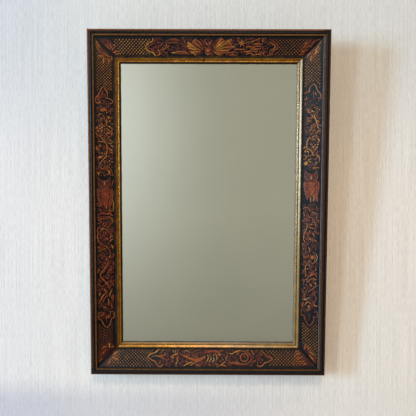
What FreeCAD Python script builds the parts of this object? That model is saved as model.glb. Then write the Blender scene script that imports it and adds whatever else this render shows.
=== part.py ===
# Wall mirror in a mitred, moulded frame with embossed and painted sheet metal panels.
# Millimetres. +Z is up and the front faces -Y. The origin is on the wall plane, behind the
# middle of the frame. Across a member, u runs inwards from the frame's outer edge and v
# runs forwards from the back of the rails.
import FreeCAD, Part
import math
import os

V = FreeCAD.Vector

# Overall sizes
frame_width = 530.0
frame_height = 768.0
frame_depth = 38.0
wall_gap = 5.0
corner_radius = 2.0
overrun = 4.0

# Glass, paper liner, backboard and the rebate that holds them
glass_thickness = 3.0
liner_thickness = 0.5
backboard_thickness = 4.0
backboard_bevel = 1.0
point_thickness = 0.8
rebate_depth = 12.0
rebate_inset = 1.0
glass_clearance = 1.0
rebate_overlap = 7.5
lip_thickness = 4.5
back_chamfer = 1.0

# Outer moulding: outer fillet, half-round, inner fillet, with a quirk on each side of the round
outer_fillet_width = 4.6
round_width = 5.4
inner_fillet_width = 4.6
quirk_width = 0.45
fillet_drop = 2.0
inner_fillet_slope = 0.5
outer_edge_radius = 1.6
inner_edge_radius = 0.6
moulding_height = 11.0

# Sheet metal panel on the sloping bed
panel_run = 38.0
panel_edge_drop = 4.8
sheet_thickness = 0.6

# Gilt slip: small fillet, quirk, bead, step, cove and sight fillet. It stands on the glass
slip_rise = 7.6
slip_fillet_width = 1.6
slip_fillet_proud = 0.9
slip_quirk_width = 0.4
slip_quirk_depth = 0.8
bead_width = 6.2
bead_rise = 2.0
bead_fall = 1.5
step_width = 1.0
cove_width = 3.7
cove_fall = 2.8
cove_sag = 0.9
sight_fillet_width = 1.6

# Loose keys inside the mitres
key_thickness = 3.2
key_height = 9.0
key_start = 20.0
key_end = 62.0
key_width = 26.0

# Flat points that hold the backboard, driven into the rebate wall
point_width = 8.0
point_bite = 6.0
point_shoulder = 1.5
point_reach = 9.0
rail_point_shares = (-0.32, 0.0, 0.32)
stile_point_shares = (-0.36, -0.12, 0.12, 0.36)

# Ring hangers on the back of the stiles
hanger_drop = 190.0
hanger_inset = 27.0
wire_radius = 1.25
bow_flat_extra = 0.05
ring_half_width = 10.5
ring_bend_radius = 2.8
ring_side_length = 2.2
strap_width = 14.0
strap_length = 31.0
strap_thickness = 1.0
fold_gap = 0.1
barrel_clearance = 0.08
joggle_angle = 40.0
ring_rest_gap = 0.3
ring_strap_gap = 0.5

# Screws of the hangers
screw_radius = 1.6
screw_hole_clearance = 0.25
screw_length = 14.0
screw_tip_length = 3.0
screw_head_radius = 3.4
screw_head_edge = 0.5
screw_head_height = 1.9
screw_slot_width = 0.8
screw_slot_depth = 0.7
first_screw_drop = 9.5

# Felt bumpers at the lower back corners
bumper_radius = 7.0
bumper_inset = 24.0

# Sizes that follow from the ones above
half_width = frame_width / 2
half_height = frame_height / 2
moulding_width = outer_fillet_width + inner_fillet_width + round_width + 2 * quirk_width
shoulder_height = frame_depth - moulding_height
panel_end = moulding_width + panel_run
panel_outer_height = frame_depth - panel_edge_drop
panel_inner_height = rebate_depth + slip_rise
panel_fall = panel_outer_height - panel_inner_height
sheet_rise = sheet_thickness * math.hypot(panel_run, panel_fall) / panel_run
slip_width = (slip_fillet_width + slip_quirk_width + bead_width + step_width
              + cove_width + sight_fillet_width)
face_width = panel_end + slip_width
rebate_edge = panel_end + rebate_inset
lip_edge = rebate_edge + rebate_overlap
slip_seat = rebate_depth + lip_thickness
backboard_back = rebate_depth - glass_thickness - liner_thickness - backboard_thickness
barrel_inner = wire_radius + barrel_clearance
barrel_outer = barrel_inner + strap_thickness
strap_face = 2 * strap_thickness + fold_gap
bow_flat_radius = wire_radius + bow_flat_extra
ring_reach = ring_bend_radius + ring_side_length + ring_half_width

FORWARD = V(0, -1, 0)
BACK_PLANE = V(0, -wall_gap, 0)
# Each side: its outer edge's middle, the direction inwards, the direction along it, its length
SIDES = {
    "top": (V(0, 0, half_height), V(0, 0, -1), V(1, 0, 0), frame_width),
    "bottom": (V(0, 0, -half_height), V(0, 0, 1), V(1, 0, 0), frame_width),
    "left": (V(-half_width, 0, 0), V(1, 0, 0), V(0, 0, 1), frame_height),
    "right": (V(half_width, 0, 0), V(-1, 0, 0), V(0, 0, 1), frame_height),
}


def place(side, u, v, along=0.0):
    """A point on a side: u inwards, v forwards from the back, and a distance along it."""
    edge, inwards, direction, _ = SIDES[side]
    return BACK_PLANE + edge + inwards * u + FORWARD * v + direction * along


def closed_face(points_of, steps):
    """A face bounded by lines and arcs. A step is (u, v), or (u, v, middle u, middle v)."""
    edges = []
    here = points_of(*steps[-1][:2])
    for step in steps:
        there = points_of(*step[:2])
        if len(step) == 4:
            edges.append(Part.Arc(here, points_of(*step[2:]), there).toShape())
        else:
            edges.append(Part.makeLine(here, there))
        here = there
    return Part.Face(Part.Wire(edges))


def rounded_block():
    """The frame's outline with its small corner radius, thick enough for every member."""
    block = Part.makeBox(frame_width, frame_depth + 2 * overrun, frame_height,
                         V(-half_width, -wall_gap - frame_depth - overrun, -half_height))
    upright = [e for e in block.Edges
               if abs(e.tangentAt(e.FirstParameter).dot(FORWARD)) > 0.99]
    return block.makeFillet(corner_radius, upright)


def mitred_member(side, steps):
    """A straight member with the section of the steps, mitred at both ends."""
    _, _, direction, length = SIDES[side]
    half = length / 2
    deep = face_width + overrun
    bar = closed_face(lambda u, v: place(side, u, v, -half), steps).extrude(direction * length)
    corners = [place(side, 0, -overrun, -half), place(side, 0, -overrun, half),
               place(side, deep, -overrun, half - deep), place(side, deep, -overrun, deep - half)]
    wedge = Part.Face(Part.makePolygon(corners + corners[:1])).extrude(
        FORWARD * (frame_depth + 2 * overrun))
    return bar.common(wedge).common(OUTLINE).Solids[0]


def core_section():
    """Wooden core: shoulder for the moulding, sloping bed, lip for the slip, rebate behind."""
    return [(back_chamfer, 0), (0, back_chamfer), (0, shoulder_height),
            (moulding_width, shoulder_height),
            (moulding_width, panel_outer_height - sheet_rise),
            (panel_end, panel_inner_height - sheet_rise), (panel_end, slip_seat),
            (lip_edge, slip_seat), (lip_edge, rebate_depth), (rebate_edge, rebate_depth),
            (rebate_edge, 0)]


def moulding_section():
    """Outer moulding: rounded outer fillet, half-round between two quirks, inner fillet."""
    fillet_top = frame_depth - fillet_drop
    quirk = frame_depth - round_width / 2
    round_start = outer_fillet_width + quirk_width
    round_end = round_start + round_width
    inner_start = round_end + quirk_width
    inner_low = fillet_top - inner_fillet_slope
    chord = 1 - math.sqrt(0.5)
    return [(0, shoulder_height), (0, fillet_top - outer_edge_radius),
            (outer_edge_radius, fillet_top,
             outer_edge_radius * chord, fillet_top - outer_edge_radius * chord),
            (outer_fillet_width, fillet_top), (outer_fillet_width, quirk), (round_start, quirk),
            (round_end, quirk, (round_start + round_end) / 2, frame_depth),
            (inner_start, quirk), (inner_start, fillet_top),
            (moulding_width - inner_edge_radius, inner_low),
            (moulding_width, inner_low - inner_edge_radius,
             moulding_width - inner_edge_radius * chord, inner_low - inner_edge_radius * chord),
            (moulding_width, shoulder_height)]


def panel_section():
    """Thin sheet that lies on the sloping bed between the moulding and the slip."""
    return [(moulding_width, panel_outer_height - sheet_rise),
            (moulding_width, panel_outer_height), (panel_end, panel_inner_height),
            (panel_end, panel_inner_height - sheet_rise)]


def slip_section():
    """Gilt slip: it hooks over the lip of the core and its foot presses on the glass."""
    top = panel_inner_height + slip_fillet_proud
    quirk = top - slip_quirk_depth
    fillet_end = panel_end + slip_fillet_width
    bead_start = fillet_end + slip_quirk_width
    bead_end = bead_start + bead_width
    bead_foot = quirk - bead_fall
    cove_start = bead_end + step_width
    cove_end = cove_start + cove_width
    cove_foot = bead_foot - cove_fall
    return [(panel_end, slip_seat), (panel_end, top), (fillet_end, top), (fillet_end, quirk),
            (bead_start, quirk),
            (bead_end, bead_foot,
             (bead_start + bead_end) / 2, (quirk + bead_foot) / 2 + bead_rise),
            (cove_start, bead_foot),
            (cove_end, cove_foot,
             (cove_start + cove_end) / 2 - cove_sag, (bead_foot + cove_foot) / 2 - cove_sag),
            (face_width, cove_foot), (face_width, rebate_depth), (lip_edge, rebate_depth),
            (lip_edge, slip_seat)]


def slab(inset, near, far, bevel=0.0):
    """A flat rectangular sheet behind the sight opening, from height near to height far."""
    width = frame_width - 2 * inset
    height = frame_height - 2 * inset
    sheet = Part.makeBox(width, near - far, height, V(-width / 2, -wall_gap - near, -height / 2))
    if not bevel:
        return sheet
    back_y = sheet.BoundBox.YMax
    rear = [e for e in sheet.Edges if e.BoundBox.YMin > back_y - bevel / 2]
    return sheet.makeChamfer(bevel, rear)


def corner_keys():
    """Flat loose keys that cross the four mitres inside the cores."""
    keys = []
    for across in (-1, 1):
        for up in (-1, 1):
            corner = BACK_PLANE + V(across * half_width, 0, up * half_height)
            inwards = V(-across, 0, -up).normalize()
            sideways = V(-across, 0, up).normalize()
            start = corner + FORWARD * key_height + inwards * key_start
            end = corner + FORWARD * key_height + inwards * key_end
            half = sideways * (key_width / 2)
            ring = Part.makePolygon([start - half, start + half, end + half, end - half, start - half])
            keys.append(Part.Face(ring).extrude(FORWARD * key_thickness))
    return keys


def backboard_points():
    """Flat pointed plates that lie on the backboard, with their tips in the rebate wall."""
    points = []
    half = point_width / 2
    height = backboard_back - point_thickness
    for side, (_, _, _, length) in SIDES.items():
        shares = rail_point_shares if side in ("top", "bottom") else stile_point_shares
        for share in shares:
            middle = share * length
            outline = [(rebate_edge - point_bite, 0), (rebate_edge - point_shoulder, half),
                       (rebate_edge + point_reach, half), (rebate_edge + point_reach, -half),
                       (rebate_edge - point_shoulder, -half)]
            ring = [place(side, u, height, middle + t) for u, t in outline]
            points.append(Part.Face(Part.makePolygon(ring + ring[:1])).extrude(
                FORWARD * point_thickness))
    return points


def hanger_strap(x):
    """Strip folded round the ring's bar: a barrel above two layers that lie on the stile."""
    lift = barrel_outer
    slope = math.radians(joggle_angle)
    layer = strap_thickness + fold_gap

    def leave(radius, face):
        """Where the folded layer leaves the barrel, and where it meets a face of the strap."""
        z = -radius * math.sin(slope)
        off = lift + radius * math.cos(slope)
        return (z, off), (z - (off - face) / math.tan(slope), face)

    outer_leave, outer_foot = leave(barrel_outer, strap_face)
    inner_leave, inner_foot = leave(barrel_inner, layer)
    steps = [(-strap_length, 0), (0, 0), (*outer_leave, barrel_outer, lift), outer_foot,
             (-strap_length, strap_face), (-strap_length, layer), inner_foot, inner_leave,
             (0, strap_thickness, barrel_inner, lift), (-strap_length, strap_thickness)]
    edge = x - strap_width / 2
    axis_z = half_height - hanger_drop
    strip = closed_face(lambda z, off: V(edge, off - wall_gap, axis_z + z), steps).extrude(
        V(strap_width, 0, 0))
    radius = strap_width / 2
    low = axis_z - strap_length
    plan = Part.makeBox(strap_width, 2 * overrun + wall_gap, strap_length + overrun,
                        V(edge, -wall_gap - overrun, low + radius))
    end = Part.makeCylinder(radius, 2 * overrun + wall_gap, V(x, -wall_gap - overrun, low + radius),
                            V(0, 1, 0))
    strip = strip.common(plan.fuse(end))
    for z in screw_heights():
        strip = strip.cut(Part.makeCylinder(screw_radius + screw_hole_clearance,
                                            2 * overrun + wall_gap,
                                            V(x, -wall_gap - overrun, z), V(0, 1, 0)))
    return strip.Solids[0]


def screw_heights():
    """Heights of a hanger's two screws: below the barrel, and centred in the round end."""
    axis_z = half_height - hanger_drop
    return (axis_z - first_screw_drop, axis_z - strap_length + strap_width / 2)


def octagon(centre, first, second):
    """The bow's eight-sided section around a centre, in the plane of two directions."""
    step = math.pi / 4
    reach = bow_flat_radius / math.cos(step / 2)
    corners = [centre + first * (reach * math.cos(step * (k + 0.5)))
               + second * (reach * math.sin(step * (k + 0.5))) for k in range(8)]
    return Part.Face(Part.makePolygon(corners + corners[:1]))


def hanger_ring(x):
    """D-shaped ring: a round bar in the barrel, then two bends, two sides and a bow."""
    bar_half = ring_half_width - ring_bend_radius
    bow_height = ring_bend_radius + ring_side_length
    pieces = [Part.makeCylinder(wire_radius, 2 * bar_half, V(-bar_half, 0, 0), V(1, 0, 0))]
    for across in (-1, 1):
        foot = octagon(V(across * bar_half, 0, 0), V(0, 1, 0), V(0, 0, 1))
        centre = V(across * bar_half, 0, ring_bend_radius)
        pieces.append(foot.revolve(centre, V(0, -across, 0), 90))
        side = octagon(V(across * ring_half_width, 0, ring_bend_radius), V(1, 0, 0), V(0, 1, 0))
        pieces.append(side.extrude(V(0, 0, ring_side_length)))
    bow_foot = octagon(V(ring_half_width, 0, bow_height), V(1, 0, 0), V(0, 1, 0))
    pieces.append(bow_foot.revolve(V(0, 0, bow_height), V(0, -1, 0), 180))
    ring = pieces[0].multiFuse(pieces[1:]).removeSplitter()
    ring.rotate(V(0, 0, 0), V(1, 0, 0), ring_lean)
    ring.translate(V(x, barrel_outer - wall_gap, half_height - hanger_drop))
    return ring.Solids[0]


def hanger_screws():
    """Round-headed slotted screws, two for each hanger."""
    screws = []
    for x in (-hanger_x, hanger_x):
        for z in screw_heights():
            seat = strap_face
            top = seat + screw_head_height
            edge = seat + screw_head_edge
            bulge = math.sqrt(0.5)
            half = closed_face(lambda r, off: V(x + r, off - wall_gap, z), [
                (0, -screw_length), (screw_radius, screw_tip_length - screw_length),
                (screw_radius, seat), (screw_head_radius, seat), (screw_head_radius, edge),
                (0, top, screw_head_radius * bulge, edge + (top - edge) * bulge)])
            screw = half.revolve(V(x, 0, z), V(0, 1, 0), 360)
            slot = Part.makeBox(2 * screw_head_radius + overrun, screw_slot_depth + overrun,
                                screw_slot_width,
                                V(x - screw_head_radius - overrun / 2,
                                  top - screw_slot_depth - wall_gap, z - screw_slot_width / 2))
            screws.append(screw.cut(slot).Solids[0])
    return screws


def bumper(x):
    """Felt disc between a stile's lower back corner and the wall."""
    return Part.makeCylinder(bumper_radius, wall_gap,
                             V(x, -wall_gap, bumper_inset - half_height), V(0, 1, 0))


OUTLINE = rounded_block()
hanger_x = half_width - hanger_inset
ring_lean = math.degrees(math.asin(
    (barrel_outer - bow_flat_radius - ring_rest_gap) / ring_reach))
ring_fall = math.degrees(math.asin(
    (strap_face + bow_flat_radius + ring_strap_gap - barrel_outer) / ring_reach))
ring_range = 180 + ring_lean - ring_fall

keys = corner_keys()
points = backboard_points()
screws = hanger_screws()
nodes = {}
for side in SIDES:
    core_name = side + ("_rail" if side in ("top", "bottom") else "_stile")
    core = mitred_member(side, core_section())
    nodes[core_name] = core.cut(keys + points + screws).Solids[0]
    nodes[side + "_outer_moulding"] = mitred_member(side, moulding_section())
    nodes[side + "_tin_panel"] = mitred_member(side, panel_section())
    nodes[side + "_gilt_slip"] = mitred_member(side, slip_section())
nodes["mitre_keys"] = Part.makeCompound(keys)
glass_inset = rebate_edge + glass_clearance
glass_back = rebate_depth - glass_thickness
liner_back = glass_back - liner_thickness
nodes["mirror_glass"] = slab(glass_inset, rebate_depth, glass_back)
nodes["paper_liner"] = slab(glass_inset, glass_back, liner_back)
nodes["backboard"] = slab(glass_inset, liner_back, backboard_back, backboard_bevel)
nodes["backboard_points"] = Part.makeCompound(points)
for name, x in (("left", -hanger_x), ("right", hanger_x)):
    nodes[name + "_hanger_strap"] = hanger_strap(x)
    nodes[name + "_hanger_ring"] = hanger_ring(x)
nodes["hanger_screws"] = Part.makeCompound(screws)
nodes["left_bumper"] = bumper(bumper_inset - half_width)
nodes["right_bumper"] = bumper(half_width - bumper_inset)

os.makedirs("parts", exist_ok=True)
for name, shape in nodes.items():
    shape.exportStep("parts/" + name + ".step")
    box = shape.BoundBox
    print(f"{name}: solids {len(shape.Solids)}, valid {shape.isValid()}, "
          f"volume {shape.Volume:.1f}, {box.XLength:.1f} x {box.YLength:.1f} x {box.ZLength:.1f}")
print(f"nodes {len(nodes)}, face width {face_width:.2f}, ring lean {ring_lean:.2f} deg, "
      f"ring range {ring_range:.2f} deg, ring axis y {barrel_outer - wall_gap:.3f} "
      f"z {half_height - hanger_drop:.3f} x {hanger_x:.3f}")
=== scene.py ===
# %% [markdown]
# # A framed wall mirror with embossed, painted panels
# The object is a flat mirror in a mitred frame. From the outside in, each side of the frame has
# a moulding in three narrow bands, a wide sloping panel of thin sheet with raised and painted
# figures, and a gilt slip that holds the glass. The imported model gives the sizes; this script
# adds the figures, the paint, the gilding and the wear.

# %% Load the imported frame
import math

import bmesh
import bpy
import numpy as np
from mathutils import Matrix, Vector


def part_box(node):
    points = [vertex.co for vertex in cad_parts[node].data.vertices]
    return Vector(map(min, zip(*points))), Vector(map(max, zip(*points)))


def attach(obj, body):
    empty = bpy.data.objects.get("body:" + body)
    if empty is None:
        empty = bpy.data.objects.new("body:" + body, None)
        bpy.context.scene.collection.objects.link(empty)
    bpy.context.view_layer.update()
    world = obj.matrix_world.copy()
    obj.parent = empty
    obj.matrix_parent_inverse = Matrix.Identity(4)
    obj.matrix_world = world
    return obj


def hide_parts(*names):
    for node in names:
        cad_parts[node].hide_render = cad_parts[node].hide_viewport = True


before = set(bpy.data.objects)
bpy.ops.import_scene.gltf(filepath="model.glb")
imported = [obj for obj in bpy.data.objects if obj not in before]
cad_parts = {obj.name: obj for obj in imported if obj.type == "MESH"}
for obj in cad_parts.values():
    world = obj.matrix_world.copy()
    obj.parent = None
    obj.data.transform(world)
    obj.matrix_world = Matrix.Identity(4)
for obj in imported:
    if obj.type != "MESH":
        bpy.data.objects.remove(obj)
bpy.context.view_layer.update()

# %% [markdown]
# ## Camera
# The photograph was taken from straight in front, a little above the middle. A pinhole camera
# was fitted to the frame's corners. It comes first, because the painted figures are
# placed by points of the photograph that are cast through this camera onto the panels.

# %% Camera at the photograph's place
def add_object(name, data):
    thing = bpy.data.objects.new(name, data)
    bpy.context.scene.collection.objects.link(thing)
    return thing


IMAGE_SIZE = 416
FOCAL_PIXELS = 462.2
EYE = np.array((0.0033, -1.0625, 0.0615))
TILT_DOWN, TURN_LEFT, LEAN = 3.68, 0.22, 0.21

camera_data = bpy.data.cameras.new("camera")
camera_data.sensor_width = 36.0
camera_data.lens = FOCAL_PIXELS / IMAGE_SIZE * camera_data.sensor_width
camera = add_object("camera", camera_data)
camera_turn = (Matrix.Rotation(math.radians(TURN_LEFT), 3, "Z")
               @ Matrix.Rotation(math.radians(90 - TILT_DOWN), 3, "X")
               @ Matrix.Rotation(math.radians(LEAN), 3, "Z"))
camera.matrix_world = Matrix.Translation(EYE) @ camera_turn.to_4x4()
bpy.context.scene.camera = camera
print("Lens (mm):", round(camera_data.lens, 2))

# %% [markdown]
# ## The frame's section
# All four sides share one section. It is given by two distances in millimetres: the inset from
# the outer edge, and the height from the back of the wooden rails. Each side is a long strip
# that gets shorter with the inset, because the corners are mitred.

# %% Places on a side
HALF_WIDTH, HALF_HEIGHT, WALL_GAP = 265.0, 384.0, 5.0
CORNER_RADIUS = 2.0
SIDES = {
    "top": ((0, 1), (0, -1), (1, 0)),
    "bottom": ((0, -1), (0, 1), (1, 0)),
    "left": ((-1, 0), (1, 0), (0, 1)),
    "right": ((1, 0), (-1, 0), (0, 1)),
}


def half_length(side):
    return HALF_WIDTH if side in ("top", "bottom") else HALF_HEIGHT


def site(side, inset, height, along):
    """Points (m) of a side from the inset, the height and the distance along it (mm)."""
    edge, inwards, run = SIDES[side]
    inset, height, along = np.broadcast_arrays(inset, height, along)
    x = edge[0] * HALF_WIDTH + inwards[0] * inset + run[0] * along
    z = edge[1] * HALF_HEIGHT + inwards[1] * inset + run[1] * along
    return np.stack([x, -(WALL_GAP + height), z], axis=-1) / 1000


def round_corners(points):
    """Pulls points (m) that lie outside the frame's rounded corners back onto the arc."""
    gap_x = HALF_WIDTH / 1000 - np.abs(points[..., 0])
    gap_z = HALF_HEIGHT / 1000 - np.abs(points[..., 2])
    radius = CORNER_RADIUS / 1000
    off_x, off_z = radius - gap_x, radius - gap_z
    reach = np.hypot(off_x, off_z)
    outside = (off_x > 0) & (off_z > 0) & (reach > radius)
    scale = np.where(outside, radius / np.maximum(reach, 1e-9), 1.0)
    points[..., 0] = np.sign(points[..., 0]) * (HALF_WIDTH / 1000 - radius + off_x * scale)
    points[..., 2] = np.sign(points[..., 2]) * (HALF_HEIGHT / 1000 - radius + off_z * scale)
    return points


print("Sides:", list(SIDES))

# %% [markdown]
# ## Mesh helpers
# Each long piece is a grid of quads, so one helper turns arrays of points and faces into a
# finished object. It makes the normals point outwards and marks the sharp edges.

# %% From arrays to an object
SHARP_ANGLE = math.radians(32)


def make_object(name, points, faces, material=None, sharp=SHARP_ANGLE):
    mesh = bpy.data.meshes.new(name)
    mesh.from_pydata(points.reshape(-1, 3), [], faces)
    shape = bmesh.new()
    shape.from_mesh(mesh)
    bmesh.ops.recalc_face_normals(shape, faces=shape.faces)
    shape.to_mesh(mesh)
    shape.free()
    mesh.shade_smooth()
    mesh.set_sharp_from_angle(angle=sharp)
    if material:
        mesh.materials.append(material)
    return add_object(name, mesh)


def grid_faces(rows, columns, start=0, closed=False):
    """Quads of a grid of points; closed joins the last column to the first."""
    i, j = np.meshgrid(np.arange(rows - 1), np.arange(columns if closed else columns - 1),
                       indexing="ij")
    a = i * columns + j
    b = i * columns + (j + 1) % columns
    return (np.stack([a, b, b + columns, a + columns], axis=-1).reshape(-1, 4) + start).tolist()


# %% [markdown]
# ## Drawing on the panels
# On the real object the figures would be pressed into the thin sheet from behind and painted
# on the front. They could be separate pieces laid on the panel, but pressed sheet has no gaps
# or undercuts, so each panel is one fine grid that is raised where a figure runs over it.
# The same strokes write a colour attribute: how much paint, which paint, and how high.

# %% A bed to draw on
PANEL_OUTER = (15.5, 33.2)
PANEL_INNER = (53.5, 19.6)
PANEL_RUN, PANEL_FALL = (PANEL_INNER[k] - PANEL_OUTER[k] for k in (0, 1))
PANEL_SLOPE = math.hypot(PANEL_RUN, PANEL_FALL)
SHEET_DROP = 0.637
GRID_STEP = 0.6
PIXEL_SIZE = 2.2
BORDER = 1.1


class Bed:
    """A side's panel as a grid: distance along and across (mm), relief, paint and hue."""

    def __init__(self, side):
        self.side = side
        self.half = half_length(side) - PANEL_OUTER[0]
        self.columns = round(PANEL_SLOPE / GRID_STEP) + 1
        self.rows = round(2 * self.half / GRID_STEP) + 1
        self.share = np.linspace(0, 1, self.columns)
        self.across = self.share * PANEL_SLOPE
        inset = self.share * PANEL_RUN
        self.along = np.linspace(-1, 1, self.rows)[:, None] * (self.half - inset)[None, :]
        shape = self.along.shape
        self.relief = np.zeros(shape)
        self.cover = np.zeros(shape)
        self.hue = np.zeros(shape)

    def cast(self, pixels):
        """Photograph points to (along, across) in mm, through the camera onto the slope."""
        pixels = np.atleast_2d(np.array(pixels, float))
        flat = np.column_stack([(pixels[:, 0] - IMAGE_SIZE / 2) / FOCAL_PIXELS,
                                (IMAGE_SIZE / 2 - pixels[:, 1]) / FOCAL_PIXELS,
                                -np.ones(len(pixels))])
        rays = flat @ np.array(camera_turn).T
        start = site(self.side, *PANEL_OUTER, 0.0)
        down = site(self.side, *PANEL_INNER, 0.0) - start
        down = down / np.linalg.norm(down)
        run = site(self.side, *PANEL_OUTER, 1.0) - start
        run = run / np.linalg.norm(run)
        normal = np.cross(down, run)
        reach = ((start - EYE) @ normal) / (rays @ normal)
        hits = EYE + rays * reach[:, None] - start
        return np.column_stack([hits @ run, hits @ down]) * 1000

    def window(self, points, margin):
        """The rows and columns of the grid that hold these points (mm) with a margin."""
        low, high = points[:, 0].min() - margin, points[:, 0].max() + margin
        ends = [np.searchsorted(self.along[:, k], (low, high)) for k in (0, -1)]
        rows = slice(min(e[0] for e in ends), max(e[1] for e in ends) + 1)
        low, high = points[:, 1].min() - margin, points[:, 1].max() + margin
        columns = slice(*np.searchsorted(self.across, (low, high)))
        return rows, columns

    def places(self, spot):
        """Distances along and across (mm) of a window's grid points."""
        return np.broadcast_arrays(self.along[spot], self.across[spot[1]])

    def lay(self, spot, cover, rise, hue):
        """Lays paint and relief of one stroke over what is there."""
        self.hue[spot] += (hue - self.hue[spot]) * cover
        self.cover[spot] = np.maximum(self.cover[spot], cover)
        self.relief[spot] = np.maximum(self.relief[spot], rise)


beds = {side: Bed(side) for side in SIDES}
print("Panel grids:", {side: bed.along.shape for side, bed in beds.items()})

# %% [markdown]
# A stroke is a smooth curve through a few given points. Its width swells and tapers as a
# brush stroke or a bent leaf does. A patch is a filled outline. A dot is a small round boss.

# %% Strokes, leaves, dots and patches
LINE_RISE, LEAF_RISE, PATCH_RISE, DOT_RISE = 0.42, 0.5, 0.24, 0.55
DARK_GAP = 0.55


def smooth_curve(points, steps=5):
    """Catmull-Rom curve through the points."""
    if len(points) < 3:
        return points
    ends = np.vstack([2 * points[0] - points[1], points, 2 * points[-1] - points[-2]])
    t = np.linspace(0, 1, steps, endpoint=False)[:, None]
    pieces = []
    for a, b, c, d in zip(ends, ends[1:], ends[2:], ends[3:]):
        pieces.append(0.5 * (2 * b + (c - a) * t + (2 * a - 5 * b + 4 * c - d) * t ** 2
                             + (3 * b - a - 3 * c + d) * t ** 3))
    return np.vstack(pieces + [points[-1:]])


def nearest(bed, spot, curve):
    """Distance (mm) from the window's grid points to a curve, and the share along it."""
    points = np.stack(bed.places(spot), axis=-1)
    best = np.full(points.shape[:2], 1e9)
    share = np.zeros(points.shape[:2])
    lengths = np.linalg.norm(np.diff(curve, axis=0), axis=1)
    total = max(lengths.sum(), 1e-6)
    done = 0.0
    for a, b, length in zip(curve, curve[1:], lengths):
        t = np.clip(((points - a) @ (b - a)) / max(length ** 2, 1e-9), 0, 1)
        gap = np.hypot(*np.moveaxis(points - a - t[..., None] * (b - a), -1, 0))
        closer = gap < best
        best = np.where(closer, gap, best)
        share = np.where(closer, (done + t * length) / total, share)
        done += length
    return best, share


def brush(bed, hue, half, curve, leaf=False, strength=1.0, rise=LINE_RISE):
    """One stroke along a curve on the bed (mm). A hue of None cuts the paint away instead."""
    spot = bed.window(curve, half + 1)
    gap, share = nearest(bed, spot, curve)
    swell = np.sin(math.pi * np.clip(share, 0.02, 0.98))
    reach = half * (swell ** 0.75 if leaf else 0.62 + 0.38 * swell)
    bulge = np.clip(1 - (gap / np.maximum(reach, 0.15)) ** 2, 0, 1)
    if hue is None:
        keep = 1 - strength * np.clip(bulge * 2, 0, 1)
        bed.cover[spot] *= keep
        bed.relief[spot] *= 0.35 + 0.65 * keep
    else:
        bed.lay(spot, strength * np.clip(bulge * 2.2, 0, 1), rise * np.sqrt(bulge), hue)


def stroke(bed, hue, width, pixels, leaf=False, strength=1.0):
    """A stroke through photograph points, with a narrow dark gap kept clear around it."""
    curve = smooth_curve(bed.cast(pixels))
    if hue is not None:
        brush(bed, None, width * PIXEL_SIZE / 2 + DARK_GAP, curve, leaf, 0.7 * strength)
    brush(bed, hue, width * PIXEL_SIZE / 2, curve, leaf, strength, LEAF_RISE if leaf else LINE_RISE)


def boss(bed, hue, half, centre):
    """A small round dome; a hue of None cuts a round gap instead."""
    spot = bed.window(centre[None, :], half + 1)
    gap = np.hypot(bed.along[spot] - centre[0], bed.across[spot[1]] - centre[1])
    bulge = np.clip(1 - (gap / half) ** 2, 0, 1)
    cover = np.clip(bulge * 2.2, 0, 1)
    if hue is None:
        bed.cover[spot] *= 1 - cover
        bed.relief[spot] *= 1 - cover
    else:
        bed.lay(spot, cover, DOT_RISE * np.sqrt(bulge), hue)


def inside(bed, spot, outline):
    """A mask of the window's grid points that lie inside a closed outline."""
    x, y = bed.places(spot)
    within = np.zeros(x.shape, bool)
    for (xa, ya), (xb, yb) in zip(outline, np.roll(outline, -1, axis=0)):
        crosses = (ya > y) != (yb > y)
        within ^= crosses & (x < (xb - xa) * (y - ya) / (yb - ya + 1e-12) + xa)
    return within


def depth_inside(bed, spot, outline):
    """How far (mm) the window's grid points lie inside a closed outline; 0 outside it."""
    gap, _ = nearest(bed, spot, np.vstack([outline, outline[:1]]))
    return np.where(inside(bed, spot, outline), gap, 0)


def patch(bed, hue, softness, pixels, strength=1.0):
    """A filled outline with soft edges."""
    outline = bed.cast(pixels)
    outline = smooth_curve(np.vstack([outline, outline[:1]]))[:-1]
    spot = bed.window(outline, 1)
    fill = np.clip(depth_inside(bed, spot, outline) / (softness * PIXEL_SIZE), 0, 1)
    bed.lay(spot, strength * fill, PATCH_RISE * np.sqrt(fill), hue)


print("Heights of strokes (mm):", LINE_RISE, LEAF_RISE, PATCH_RISE, DOT_RISE)

# %% [markdown]
# The figures are written down as tables, one stroke on a line: its kind, its paint, its size
# and its points in the photograph. The paints are places on one colour ramp, so a number
# between two of them is a mixed paint, and "bare" takes paint away again.

# %% Tables of strokes
DARK_RED, RUST, ORANGE, GOLD, BUFF, OLIVE = 0.0, 0.2, 0.4, 0.6, 0.8, 1.0
PAINTS = {"dark_red": DARK_RED, "rust": RUST, "orange": ORANGE, "gold": GOLD, "buff": BUFF,
          "olive": OLIVE, "bare": None}
STRENGTHS = {"wash": 0.6, "tint": 0.34, "faint": 0.55}


def read(table):
    """The words of each line of a table; an indented line goes on with the one before."""
    return [row.split() for row in table.strip().replace("\n    ", " ").splitlines()]


def numbers(words):
    """Lists of numbers from words such as 152,38.5."""
    return [[float(number) for number in word.split(",")] for word in words]


def paints(word):
    """Places on the colour ramp from names or numbers with commas between them."""
    return [PAINTS[part] if part in PAINTS else float(part) for part in word.split(",")]


def draw(bed, table):
    """Draws a table of strokes. Each line has a kind, a paint or hue, a size in pixels and the
    points in the photograph."""
    rows = read(table)
    for kind, hue, size, *pixels in rows:
        [hue], pixels = paints(hue), numbers(pixels)
        strength = STRENGTHS.get(kind, 1.0)
        if kind == "dot":
            for centre in bed.cast(pixels):
                boss(bed, hue, float(size) * PIXEL_SIZE / 2, centre)
        elif kind in ("patch", "wash", "tint"):
            patch(bed, hue, float(size), pixels, strength)
        else:
            stroke(bed, hue, float(size), pixels, kind == "leaf", strength)
    return len(rows)


print("Paints:", list(PAINTS))

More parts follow.
